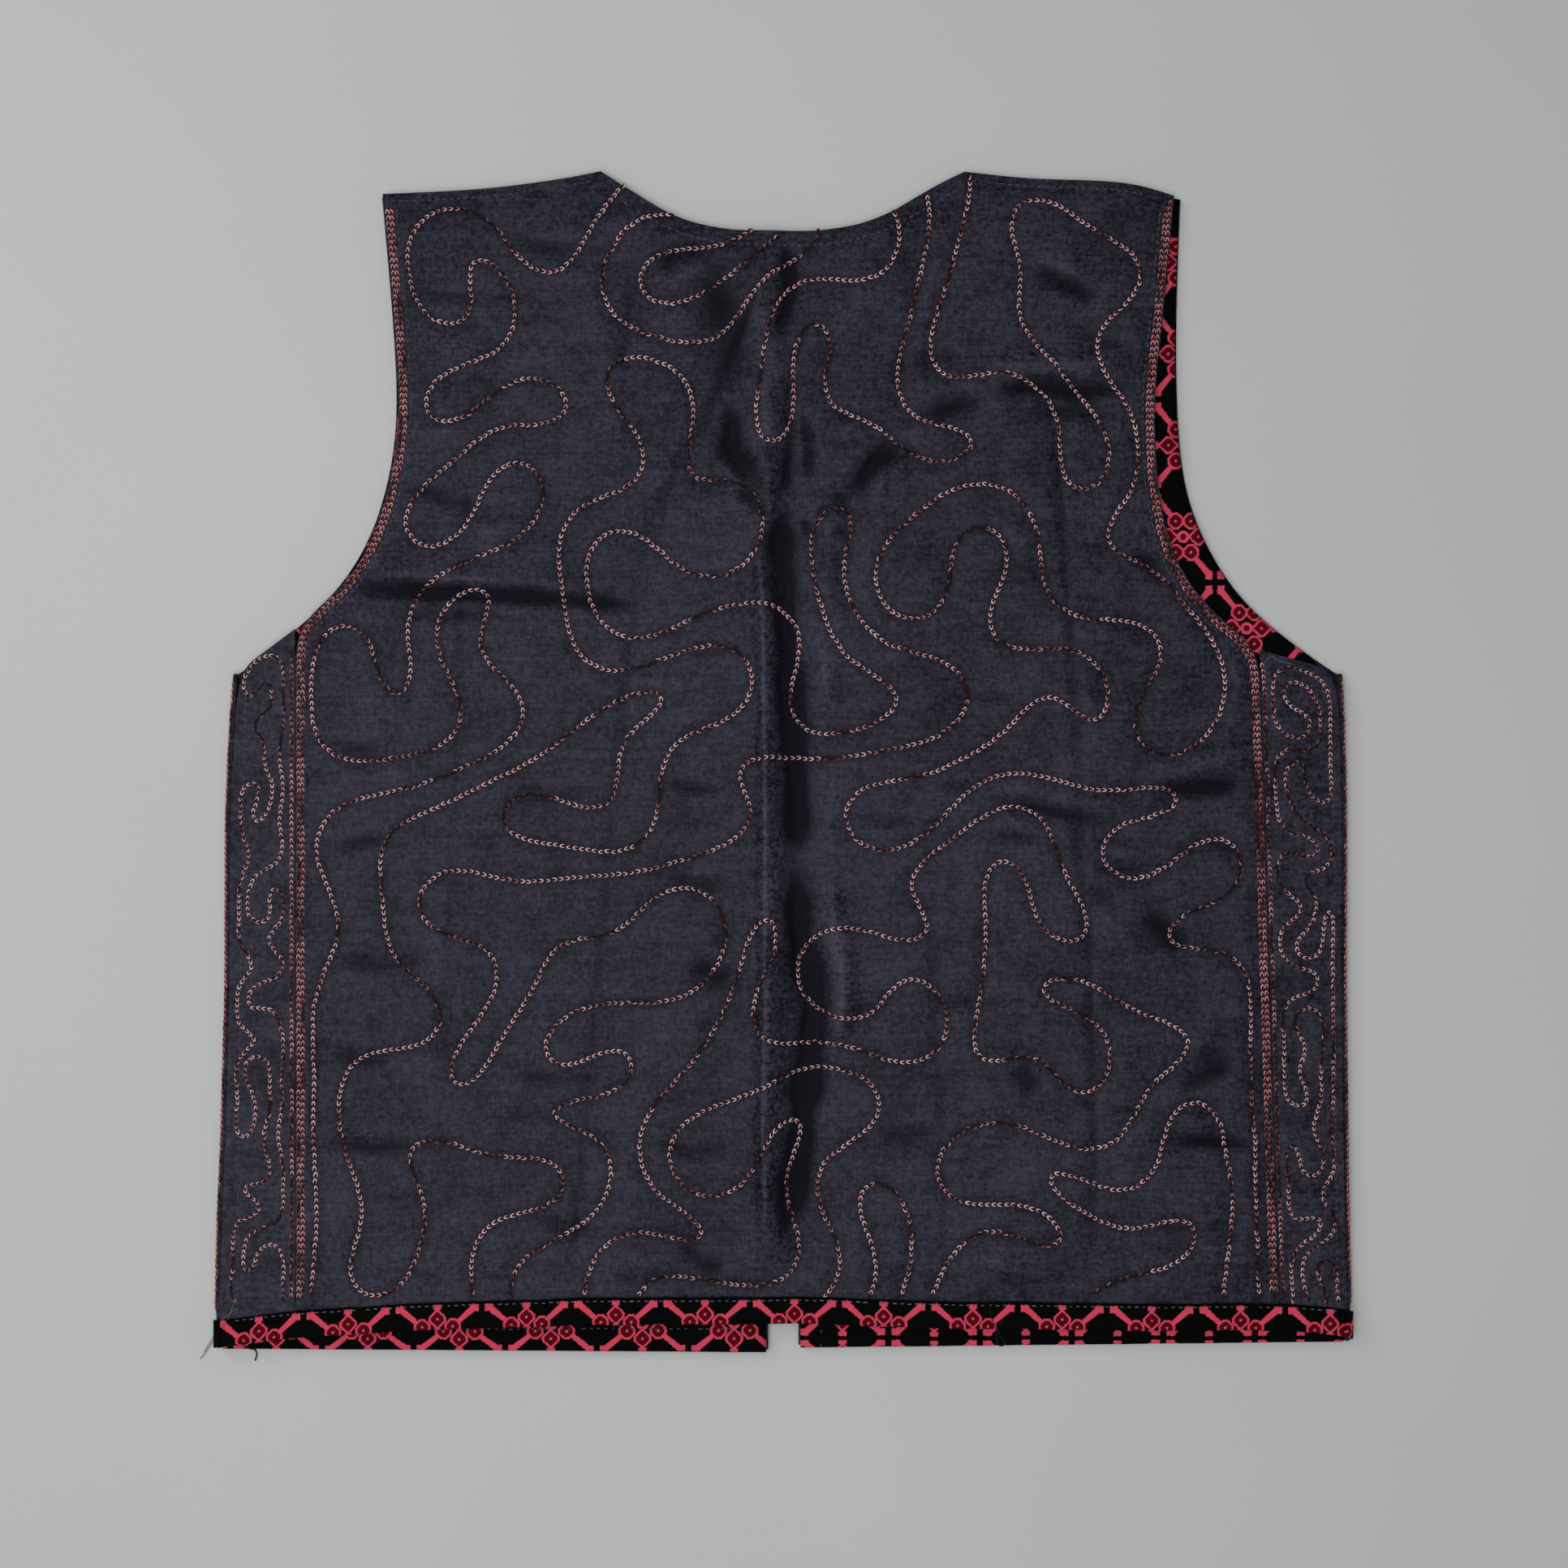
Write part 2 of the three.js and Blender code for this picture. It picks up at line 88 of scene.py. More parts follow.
class Shade:
    """A socket of a material's nodes. Sums written on it add Math nodes."""

    def __init__(self, tree, socket=None):
        self.tree = tree
        self.socket = socket

    def node(self, kind, settings=(), inputs=(), output=0):
        """Adds any node: its settings first, then a value or a link for each named input."""
        made = self.tree.nodes.new(kind)
        for name, value in dict(settings).items():
            if name == "stops":
                while len(made.color_ramp.elements) < len(value):
                    made.color_ramp.elements.new(0.5)
                for stop, (place, colour) in zip(made.color_ramp.elements, value):
                    stop.position = place
                    stop.color = (*colour, 1.0)
            else:
                setattr(made, name, value)
        for name, value in dict(inputs).items():
            if isinstance(value, Shade):
                self.tree.links.new(value.socket, made.inputs[name])
            else:
                made.inputs[name].default_value = value
        return Shade(self.tree, made.outputs[output])

    def math(self, operation, *values, clamp=False):
        return self.node("ShaderNodeMath", {"operation": operation, "use_clamp": clamp}, enumerate(values))

    def __add__(self, other):
        return self.math("ADD", self, other)

    def __sub__(self, other):
        return self.math("SUBTRACT", self, other)

    def __rsub__(self, other):
        return self.math("SUBTRACT", other, self)

    def __mul__(self, other):
        return self.math("MULTIPLY", self, other)

    def __truediv__(self, other):
        return self.math("DIVIDE", self, other)

    def __abs__(self):
        return self.math("ABSOLUTE", self)

    __radd__ = __add__
    __rmul__ = __mul__

    def least(self, other):
        return self.math("MINIMUM", self, other)

    def most(self, other):
        return self.math("MAXIMUM", self, other)

    def clamped(self):
        return self.math("ADD", self, 0.0, clamp=True)

    def below(self, edge, soft):
        """1 where the value is under the edge, 0 above it, with a soft step between."""
        return self.math("ADD", (edge - self) / soft, 0.5, clamp=True)

    def colours(self, first, second):
        """The first colour where this mask is 0 and the second where it is 1."""
        ends = [c if isinstance(c, Shade) else (*c, 1.0) for c in (first, second)]
        mixed = {0: self, 6: ends[0], 7: ends[1]}
        return self.node("ShaderNodeMix", {"data_type": "RGBA"}, mixed, output=2)

    def place(self):
        """Where a point lies on its own piece, in metres."""
        return self.node("ShaderNodeTexCoord", output=3)

    def stored(self, name, output=2):
        """What the mesh stores for each point under a name: a number, or with output 1 a vector."""
        return self.node("ShaderNodeAttribute", {"attribute_name": name}, output=output)

    def bump(self, strength, distance):
        """A bump whose height is this value."""
        inputs = {"Strength": strength, "Distance": distance, "Height": self}
        return self.node("ShaderNodeBump", {}, inputs)

    def noise(self, scale, detail=2.0, stretch=(1, 1, 1)):
        """Noise on this vector, finer with a larger scale."""
        place = self.node("ShaderNodeMapping", {}, {"Vector": self, "Scale": stretch})
        return self.node("ShaderNodeTexNoise", {}, {"Vector": place, "Scale": scale, "Detail": detail})


def new_material(name, **constants):
    """A material with its shader's constant sockets set, its tree and its shader."""
    material = bpy.data.materials.new(name)
    material.use_nodes = True
    shader = material.node_tree.nodes["Principled BSDF"]
    for socket, value in constants.items():
        shader.inputs[socket.replace("_", " ")].default_value = value
    return material, Shade(material.node_tree), shader


def feed(shades, shader, **links):
    """Links values to the shader's sockets."""
    for socket, value in links.items():
        shades.tree.links.new(value.socket, shader.inputs[socket.replace("_", " ")])


bpy.ops.object.select_all(action="DESELECT")
bpy.ops.mesh.primitive_plane_add(size=6.0, location=(0, 0, -0.0003))
surface = bpy.context.object
surface.name = "surface"
bpy.ops.object.transform_apply(location=True)
paper, shades, shader = new_material("pale surface", Roughness=0.85, Specular_IOR_Level=0.2)
place = shades.place()
grain = place.noise(2200.0, 2.0)
cloudy = place.noise(3.0, 3.0)
tone = (0.4 * grain + 0.6 * cloudy).colours(SURFACE_DARK, SURFACE_LIGHT)
feed(shades, shader, Base_Color=tone)
surface.data.materials.append(paper)

# ---- Back ----
# The back is one cut of dark navy satin with a fine slub, from side seam to side seam. It has a shallow
# neck, deep armholes and a standing fold down its middle, and it lies over the fronts with its creases.
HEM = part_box("lining_left")[0][1]
WALL = 0.9
SATIN_DARK = (0.0015, 0.0013, 0.0042)
SATIN_LIGHT = (0.056, 0.0535, 0.083)
BACK_CORNERS = {
    "left foot": (-207.3, 8.4),
    "left underarm": (-207.3, 308.4),
    "left tip": (-170.4, 493.2),
    "left neck": (-77.8, 503.0),
    "right neck": (77.2, 502.8),
    "right tip": (166.3, 492.4),
    "right underarm": (202.3, 299.5),
    "right foot": (211.0, 11.4),
}
# Creases of the back, in millimetres from its middle and the fronts' hem: the points of the line, the
# height of the ridge (below 0 for a trough), its half width, and how much steeper its right side is.
CREASES = [
    ([(-6, 474), (-9, 420), (-9, 370), (-10, 340)], 1.4, 7, 0.3),
    ([(-10, 350), (-9, 320), (-8, 230), (-8, 150), (-9, 90), (-7, 34)], 2.6, 5, 0.5),
    ([(0, 366), (-2, 340), (1, 300), (5, 250), (5, 205)], -3.0, 5, 0.1),
    ([(5, 215), (6, 180), (13, 148), (7, 92), (-1, 44)], -3.0, 6, 0.1),
    ([(15, 212), (24, 176), (26, 150), (19, 120)], 1.9, 6, -0.2),
    ([(17, 344), (19, 300), (15, 262)], 1.2, 6, 0.0),
    ([(1, 477), (3, 452), (-2, 434), (3, 426)], -2.2, 3.6, 0.1),
    ([(3, 413), (3, 390), (1, 370), (-4, 356)], -1.8, 3.0, 0.0),
    ([(9.6, 402), (11, 384), (11.7, 368)], -1.2, 2.4, 0.0),
    ([(-5, 472), (-20, 429), (-34, 395), (-57, 355), (-61, 327)], -0.8, 1.7, 0.0),
    ([(-61, 333), (-68, 280), (-80, 150), (-91, 28)], -0.75, 1.7, 0.0),
    ([(-64, 464), (-66, 438), (-69, 403)], -0.7, 1.7, 0.0),
    ([(-88, 488), (-78, 430), (-72, 396)], 0.5, 4.0, 0.4),
    ([(115, 402), (125, 265), (126, 213), (130, 172), (132, 110), (131, 30)], -0.75, 1.8, 0.0),
    ([(-133, 380), (-138, 300), (-141, 190), (-147, 80)], -0.45, 2.2, 0.0),
    ([(62, 200), (66, 120), (70, 30)], -0.45, 2.2, 0.0),
    ([(-54, 463), (-44, 468.5), (-30, 470)], -2.2, 4.0, 0.1),
    ([(-50, 455), (-38, 461), (-26, 462)], 1.4, 4.0, 0.1),
    ([(-40, 474), (-28, 452), (-22, 424), (-24, 404)], -1.3, 9, 0.0),
    ([(-21, 409), (-23, 383), (-12, 370), (-5, 358)], -2.4, 4.6, 0.1),
    ([(-32, 388), (-20, 372), (-8, 362)], 1.6, 4, 0.3),
    ([(-22, 369), (-13, 363), (-5, 356)], -1.8, 2.4, 0.0),
    ([(52, 386), (39, 380), (33, 371), (26, 365)], -2.6, 3.4, 0.1),
    ([(56, 380), (44, 373), (36, 364)], 1.6, 4.0, -0.2),
    ([(54, 396), (70, 401), (90, 407)], -1.4, 4.0, 0.2),
    ([(56, 418), (61, 423), (79, 424)], -1.1, 3.0, 0.1),
    ([(20, 365), (29, 361)], -1.5, 2.4, 0.0),
    ([(13, 356), (21, 359)], -1.4, 2.4, 0.0),
    ([(7, 354), (15, 348)], -1.4, 2.2, 0.0),
    ([(22, 352), (29, 346)], -1.5, 2.4, 0.0),
    ([(13, 366), (19, 352)], 1.2, 3.5, 0.2),
    ([(38, 470), (33, 448), (31, 430)], 0.7, 6, 0.0),
    ([(62, 489), (64, 474), (66, 455)], 0.9, 6, 0.1),
    ([(105, 462), (119, 455), (135, 446)], -2.0, 3.2, 0.1),
    ([(103, 470), (118, 462), (132, 455)], 1.2, 5, 0.3),
    ([(84, 408), (104, 411), (130, 408), (156, 411)], -2.2, 3.4, 0.2),
    ([(80, 416), (110, 419), (150, 419)], 1.7, 6, 0.3),
    ([(96, 398), (120, 401), (150, 398)], -1.2, 3.0, 0.0),
    ([(120, 436), (136, 430), (150, 428)], -1.0, 3.0, 0.0),
    ([(-190, 326), (-150, 323), (-104, 321), (-56, 317)], -2.0, 3.0, 0.2),
    ([(-186, 333), (-150, 330), (-100, 327)], 1.3, 5, 0.2),
    ([(-176, 316), (-140, 314), (-110, 315)], -0.9, 2.5, 0.0),
    ([(-168, 372), (-140, 362), (-118, 358)], -1.0, 3, 0.1),
    ([(-160, 430), (-138, 424), (-124, 414)], 0.9, 7, 0.1),
    ([(-158, 452), (-140, 449), (-122, 450)], -0.9, 2.6, 0.0),
    ([(-120, 478), (-104, 470), (-84, 468)], -0.9, 3.0, 0.0),
    ([(154, 238), (176, 240), (188, 241), (200, 246)], -2.2, 3.0, 0.2),
    ([(150, 247), (172, 249), (196, 254)], 1.2, 4.5, 0.2),
    ([(64, 241), (85, 241)], -1.0, 2.4, 0.0),
    ([(84, 236), (110, 231), (147, 224)], -1.9, 2.6, 0.1),
    ([(88, 243), (114, 239), (140, 233)], 1.0, 4.5, 0.2),
    ([(84, 218), (98, 220), (114, 217)], -1.1, 2.4, 0.0),
    ([(175, 218), (200, 213)], -1.3, 2.4, 0.0),
    ([(130, 207), (155, 204)], -1.4, 2.4, 0.0),
    ([(126, 198), (147, 192)], -0.9, 2.4, 0.0),
    ([(150, 190), (162, 180), (174, 170)], -1.6, 6, 0.0),
    ([(146, 342), (156, 335), (165, 326)], -1.7, 3.4, 0.2),
    ([(158, 366), (164, 356), (172, 348)], -1.0, 3.0, 0.2),
    ([(175, 130), (184, 122), (190, 116)], -1.7, 6, 0.1),
    ([(168, 112), (176, 116), (184, 118)], -1.3, 3, 0.1),
    ([(160, 89), (182, 90), (205, 88)], -2.2, 2.4, 0.1),
    ([(158, 95), (182, 97), (203, 95)], 1.0, 4, 0.4),
    ([(64, 150), (98, 148)], -0.7, 2.6, 0.0),
    ([(99, 125), (108, 109)], -1.3, 4, 0.0),
    ([(-196, 170), (-170, 164), (-146, 167)], -0.9, 2.6, 0.2),
    ([(-198, 128), (-180, 124), (-160, 127)], -1.0, 2.6, 0.2),
    ([(-200, 92), (-176, 86), (-150, 90)], -1.1, 2.6, 0.2),
    ([(-196, 214), (-176, 218), (-158, 214)], -1.1, 2.8, 0.1),
    ([(-198, 262), (-180, 256), (-166, 258)], -0.9, 2.6, 0.1),
    ([(-120, 242), (-96, 238), (-74, 241)], -0.8, 2.4, 0.0),
    ([(-118, 120), (-96, 116), (-80, 118)], -0.8, 2.4, 0.0),
    ([(-56, 246), (-40, 240), (-22, 240)], -1.1, 2.6, 0.1),
    ([(-52, 206), (-36, 198), (-20, 200)], -1.2, 4, 0.1),
    ([(-42, 168), (-30, 160), (-18, 158)], -1.3, 5, 0.1),
    ([(-56, 92), (-40, 84), (-20, 86)], -1.0, 2.8, 0.1),
    ([(30, 232), (44, 226), (60, 229)], -0.9, 2.6, 0.0),
    ([(34, 96), (52, 92), (70, 96)], -0.9, 2.6, 0.0),
    ([(60, 276), (84, 280), (106, 277)], -0.7, 2.4, 0.0),
    ([(-110, 60), (-92, 52), (-76, 54)], -1.0, 3.0, 0.0),
    ([(-46, 50), (-34, 38), (-22, 34)], -1.4, 4.0, 0.0),
    ([(40, 60), (48, 44), (52, 30)], 0.8, 6, 0.1),
    ([(-128, 62), (-124, 44), (-126, 28)], 0.8, 6, 0.1),
    ([(96, 52), (92, 40), (94, 28)], 0.7, 6, 0.1),
    ([(150, 56), (176, 52), (198, 55)], -1.0, 2.6, 0.1),
]
LIFT = 1.1
EDGE_RISE = 9.0
BACK_HEM = 11.0
BAND_COVER = 12.0
DEEPEST = -1.05
STITCH_PUFF = 0.40
PUFF_REACH = 3.6
GROOVE_REACH = 2.0
# The trough depth at which the painted shade in a crease is full, and the ridge height at which its painted
# highlight is full.
FULL_SHADE_DEPTH = 1.5
FULL_HIGHLIGHT_RISE = 2.2
SMOOTH_ANGLE = math.radians(50)


def in_millimetres(mesh):
    """A mesh's points in millimetres, with y measured from the fronts' hem."""
    points = np.empty(len(mesh.vertices) * 3)
    mesh.vertices.foreach_get("co", points)
    return (points.reshape(-1, 3) - (0, HEM, 0)) * 1000


def move_points(mesh, points):
    """Puts points in millimetres back into the mesh."""
    mesh.vertices.foreach_set("co", (points / 1000 + (0, HEM, 0)).ravel())
    mesh.update()


def store_value(mesh, name, values):
    """Keeps one number for each point of a mesh, for its material."""
    store = mesh.attributes.new(name, "FLOAT", "POINT")
    store.data.foreach_set("value", np.asarray(values, float).ravel())


def smooth_step(t):
    t = np.clip(t, 0, 1)
    return t * t * (3 - 2 * t)


def ripple(x, y, size, seed, stretch=1.0):
    """Uneven waves from -1 to 1, of about the given size, longer along x where stretch is over 1."""
    rng = np.random.default_rng(seed)
    waves = 26
    angle = rng.uniform(0, 2 * np.pi, waves)
    pitch = 2 * np.pi / (size * rng.uniform(0.7, 1.8, waves))
    phase = rng.uniform(0, 2 * np.pi, waves)
    total = sum(
        np.sin(x / stretch * np.cos(a) * p + y * np.sin(a) * p + f) for a, p, f in zip(angle, pitch, phase)
    )
    return np.clip(total / math.sqrt(waves), -1.6, 1.6) / 1.6


def distance_run(line):
    """How far along a line each of its points lies."""
    return np.concatenate([[0], np.cumsum(np.linalg.norm(np.diff(line, axis=0), axis=1))])


def crease_height(x, y, line, rise, width, lean, seed):
    """A soft ridge or trough along a line, with faded ends and an uneven height."""
    line = np.array(line, float)
    legs = np.diff(line, axis=0)
    run = distance_run(line)
    nearest = np.full(x.shape, 1e9)
    across = np.zeros(x.shape)
    along = np.zeros(x.shape)
    for i, (leg, start) in enumerate(zip(legs, line)):
        length = run[i + 1] - run[i]
        raw = ((x - start[0]) * leg[0] + (y - start[1]) * leg[1]) / length**2
        t = np.clip(raw, 0, 1)
        dx, dy = x - start[0] - t * leg[0], y - start[1] - t * leg[1]
        far = np.hypot(dx, dy)
        closer = far < nearest
        nearest = np.where(closer, far, nearest)
        across = np.where(closer, np.sign(leg[0] * dy - leg[1] * dx), across)
        along = np.where(closer, run[i] + raw * length, along)
    fade_length = min(0.35 * run[-1], 26.0)
    fade = smooth_step(along / fade_length) * smooth_step((run[-1] - along) / fade_length)
    wide = width * (1 + lean * across) * (1 + 0.22 * ripple(along, 0 * along, 34, seed))
    uneven = 1 + 0.3 * ripple(along, 0 * along, 24, seed + 1)
    return rise * uneven * fade * np.exp(-((nearest / wide) ** 2))


def hem_wave(x):
    """Rise of the back's hem above its rest, a little different all along it."""
    return 0.55 + 0.55 * ripple(x, 0 * x, 46, 71)


def edit_mode():
    bpy.ops.object.mode_set(mode="EDIT")


def object_mode():
    bpy.ops.object.mode_set(mode="OBJECT")


def only(piece):
    """Selects one piece and nothing else."""
    bpy.ops.object.select_all(action="DESELECT")
    piece.select_set(True)
    bpy.context.view_layer.objects.active = piece


def merged_copy(node, name):
    """A node's shape as a piece of its own, with its loose triangles merged to quads."""
    piece = bpy.data.objects.new(name, nodes[node].data.copy())
    bpy.context.collection.objects.link(piece)
    only(piece)
    edit_mode()
    bpy.ops.mesh.select_all(action="SELECT")
    bpy.ops.mesh.remove_doubles(threshold=0.00001)
    bpy.ops.mesh.normals_make_consistent(inside=False)
    bpy.ops.mesh.tris_convert_to_quads(face_threshold=math.radians(60), shape_threshold=math.radians(120))
    object_mode()
    piece.data.materials.clear()
    return piece


def subdivided(piece, levels):
    """The piece with a Subdivision Surface applied."""
    only(piece)
    finer = piece.modifiers.new("finer", "SUBSURF")
    finer.levels = levels
    finer.render_levels = levels
    finer.boundary_smooth = "PRESERVE_CORNERS"
    bpy.ops.object.modifier_apply(modifier="finer")


def upper_sheet(node, name, levels, corners=()):
    """The upper face of a node's wall as an open sheet, made finer, with some corners kept sharp."""
    piece = merged_copy(node, name)
    edit_mode()
    bpy.ops.mesh.select_mode(type="FACE")
    object_mode()
    for face in piece.data.polygons:
        face.select = face.normal.z < 0.35
    edit_mode()
    bpy.ops.mesh.delete(type="FACE")
    bpy.ops.mesh.select_mode(type="VERT")
    bpy.ops.mesh.select_all(action="DESELECT")
    object_mode()
    plan = in_millimetres(piece.data)[:, :2]
    for corner in corners:
        piece.data.vertices[int(np.argmin(np.hypot(*(plan - corner).T)))].select = True
    edit_mode()
    if corners:
        bpy.ops.transform.vert_crease(value=1.0)
    object_mode()
    subdivided(piece, levels)
    return piece


def border(mesh):
    """The numbers of the points round the edge of an open sheet, in order."""
    used = {}
    for face in mesh.polygons:
        for key in face.edge_keys:
            used[key] = used.get(key, 0) + 1
    after = {}
    for (a, b), times in used.items():
        if times == 1:
            after.setdefault(a, []).append(b)
            after.setdefault(b, []).append(a)
    loop = [min(after)]
    previous = None
    while True:
        step = [p for p in after[loop[-1]] if p != previous]
        previous = loop[-1]
        if step[0] == loop[0]:
            return loop
        loop.append(step[0])


def distance_to(points, x, y):
    """Plan distance of each place to the nearest of the points."""
    tree = KDTree(len(points))
    for i, (px, py) in enumerate(points):
        tree.insert((px, py, 0), i)
    tree.balance()
    return np.array([tree.find((px, py, 0))[2] for px, py in zip(x, y)])


def walk_round(cells, size, rng):
    """A closed walk round a random tree that joins the cells of a grid."""
    cells = set(cells)
    start = sorted(cells)[len(cells) // 2]
    links, seen, stack = set(), {start}, [start]
    while stack:
        here = stack[-1] if rng.random() < 0.62 else stack[rng.integers(len(stack))]
        near = [(here[0] + dx, here[1] + dy) for dx, dy in ((1, 0), (-1, 0), (0, 1), (0, -1))]
        near = [cell for cell in near if cell in cells and cell not in seen]
        if not near:
            stack.remove(here)
            continue
        new = near[rng.integers(len(near))]
        links.add(frozenset((here, new)))
        seen.add(new)
        stack.append(new)

    def following(x, y):
        """Quarter cells that the walk may reach from a quarter cell, with the tree on one hand."""
        cell = (x // 2, y // 2)
        for dx, dy in ((1, 0), (-1, 0), (0, 1), (0, -1)):
            there = ((x + dx) // 2, (y + dy) // 2)
            if there == cell:
                side = (0, 1 if y % 2 else -1) if dx else (1 if x % 2 else -1, 0)
                if frozenset((cell, (cell[0] + side[0], cell[1] + side[1]))) not in links:
                    yield (x + dx, y + dy)
            elif frozenset((cell, there)) in links:
                yield (x + dx, y + dy)

    first = (2 * start[0], 2 * start[1])
    walk, previous, here = [first], None, first
    while True:
        step = next(place for place in following(*here) if place != previous)
        previous, here = here, step
        if here == first:
            return (np.array(walk, float) + 0.5) * size / 2
        walk.append(here)


def even(line, step, closed=False):
    """The line again with its points an even step apart."""
    ring = np.vstack([line, line[:1]]) if closed else line
    run = distance_run(ring)
    count = max(8, round(run[-1] / step))
    at = np.linspace(0, run[-1], count + (not closed), endpoint=not closed)
    return np.column_stack([np.interp(at, run, ring[:, k]) for k in (0, 1)])


def inside(points, outline):
    """True for each point inside a closed outline."""
    x, y = points[:, 0][:, None], points[:, 1][:, None]
    x0, y0 = outline[:, 0], outline[:, 1]
    x1, y1 = np.roll(x0, -1), np.roll(y0, -1)
    rise = np.where(y1 == y0, 1e-9, y1 - y0)
    crossed = ((y0 > y) != (y1 > y)) & (x < (x1 - x0) * (y - y0) / rise + x0)
    return crossed.sum(axis=1) % 2 == 1


def nearest_on(points, outline):
    """Nearest place on a closed outline to each point, and its distance."""
    legs = np.roll(outline, -1, axis=0) - outline
    t = np.clip(((points[:, None] - outline) * legs).sum(-1) / (legs * legs).sum(-1), 0, 1)
    foot = outline + t[..., None] * legs
    far = np.linalg.norm(points[:, None] - foot, axis=-1)
    best = far.argmin(axis=1)
    rows = np.arange(len(points))
    return foot[rows, best], far[rows, best]


def grown_meander(outline, spacing, seed, rounds=110, margin=0.4):
    """One closed line that has grown to fill an outline, with rounded lobes and without crossing itself."""
    rng = np.random.default_rng(seed)
    low, high = outline.min(0), outline.max(0)
    size = 2 * spacing
    across, up = (int(n) + 1 for n in (high - low) / size)
    origin = (low + high - np.array([across, up]) * size) / 2
    grid = [(i, j) for i in range(across) for j in range(up)]
    centres = origin + (np.array(grid) + 0.5) * size
    cells = [cell for cell, within in zip(grid, inside(centres, outline)) if within]
    step = spacing / 3.2
    line = even(walk_round(cells, size, rng) + origin, step, closed=True)
    phase = rng.uniform(0, 2 * np.pi, 6)
    waves = rng.uniform(-1, 1, (6, 2)) * 2 * np.pi / (5 * spacing)
    limit = step * 0.35
    for turn in range(rounds):
        n = len(line)
        x, y = line.T.astype(np.float32)
        one, other = np.nonzero((x[:, None] - x) ** 2 + (y[:, None] - y) ** 2 < (spacing * 1.3) ** 2)
        apart = np.abs(one - other)
        separate = np.minimum(apart, n - apart) > 3 + spacing / step
        one, other = one[separate], other[separate]
        gap = line[one] - line[other]
        far = np.linalg.norm(gap, axis=1) + 1e-9
        local = spacing * (1 + 0.45 * np.sin(line @ waves.T + phase).mean(1))
        push = np.clip(1 - far / (local[one] + local[other]) * 1.7, 0, None) * step / far
        force = np.column_stack([np.bincount(one, gap[:, k] * push, n) for k in (0, 1)])
        bow = (np.roll(line, 1, 0) + np.roll(line, -1, 0)) / 2 - line
        bend = (np.roll(line, 4, 0) + np.roll(line, -4, 0)) / 2 - line
        force += bow * 0.05
        force -= ((np.roll(bend, 4, 0) + np.roll(bend, -4, 0)) / 2 - bend) * 0.09
        force -= ((np.roll(bow, 1, 0) + np.roll(bow, -1, 0)) / 2 - bow) * 0.3
        foot, away = nearest_on(line, outline)
        outside = ~inside(line, outline)
        inward = (line - foot) / np.maximum(away, 1e-6)[:, None] * np.where(outside, -1, 1)[:, None]
        lack = np.where(outside, away + spacing * margin, np.clip(spacing * margin - away, 0, None))
        force += inward * (lack * 0.5)[:, None] + rng.normal(0, step * 0.03, line.shape)
        strength = np.linalg.norm(force, axis=1, keepdims=True)
        line = line + force * np.minimum(1, limit / np.maximum(strength, 1e-9))
        if turn < rounds * 0.75:
            wide = (np.roll(line, 5, 0) + np.roll(line, -5, 0)) / 2
            line = line + np.clip((line - wide) * 0.2, -limit * 0.6, limit * 0.6)
        line = even(line, step, closed=True)
    return line


# The embroidered line keeps off the seams and armholes, and runs out under the neckline and the hem band.
MEANDER_AREA = [(-204, 12), (-204, 306), (-178, 333), (-164, 364.5), (-159, 396), (-161, 440), (-166, 490)]
MEANDER_AREA += [(-130, 492), (-97, 496), (-78, 530), (78, 530), (104, 496), (146, 494), (162, 489)]
MEANDER_AREA += [(157, 437.5), (153, 398), (158, 347.8), (173, 320), (198, 297), (206, 12)]
MEANDER_AREA += [(206, -20), (-204, -20)]
MEANDER_SPACING = 9.6
meander = grown_meander(np.array(MEANDER_AREA, float), MEANDER_SPACING, 7)

back = upper_sheet("back_panel", "back", 3, [BACK_CORNERS["left neck"], BACK_CORNERS["right neck"]])
points = in_millimetres(back.data)
x, y = points[:, 0], points[:, 1]
back_edge = points[border(back.data)][:, :2]
from_edge = distance_to(back_edge, x, y)
from_stitch = distance_to(even(meander, 1.5, closed=True), x, y)
heights = [crease_height(x, y, *crease, seed=200 + 3 * i) for i, crease in enumerate(CREASES)]
relief = sum(heights)
troughs = sum(height for height, crease in zip(heights, CREASES) if crease[1] < 0)
ridges = relief - troughs
for rise, size, seed, stretch in ((0.55, 75, 11, 1.0), (0.38, 26, 12, 1.6), (0.15, 9, 13, 1.8)):
    relief = relief + rise * ripple(x, y, size, seed, stretch)
relief = (relief + LIFT) * smooth_step((from_edge - 0.5) / EDGE_RISE)
above_band = y - BACK_HEM - BAND_COVER
relief = relief * smooth_step(above_band / 14)
puff = STITCH_PUFF * (1 - np.exp(-((from_stitch / PUFF_REACH) ** 2)))
relief = relief + puff * smooth_step(above_band / 5) - 0.15
relief = np.maximum(relief, DEEPEST)
relief = relief + hem_wave(x) * (1 - smooth_step(above_band / 30))
points[:, 2] += relief
move_points(back.data, points)
# Painted light on the back: its colour is darkened as painted shade in the troughs of its creases and as a
# painted shadow round the stitched line, and lightened as a painted highlight along its ridges.
painted_stitch_shadow = 0.55 * np.exp(-((from_stitch / GROOVE_REACH) ** 2))
fold = np.maximum(np.clip(-troughs / FULL_SHADE_DEPTH, 0, 1) ** 1.1, painted_stitch_shadow)
store_value(back.data, "fold", fold - 0.55 * np.clip(ridges / FULL_HIGHLIGHT_RISE, 0, 1) ** 1.4)


def ground(mesh):
    """A sheet's faces for finding the height and the slope at a place."""
    triangles = []
    for face in mesh.polygons:
        corners = face.vertices
        triangles += [(corners[0], corners[i], corners[i + 1]) for i in range(1, len(corners) - 1)]
    return BVHTree.FromPolygons([v.co for v in mesh.vertices], triangles)


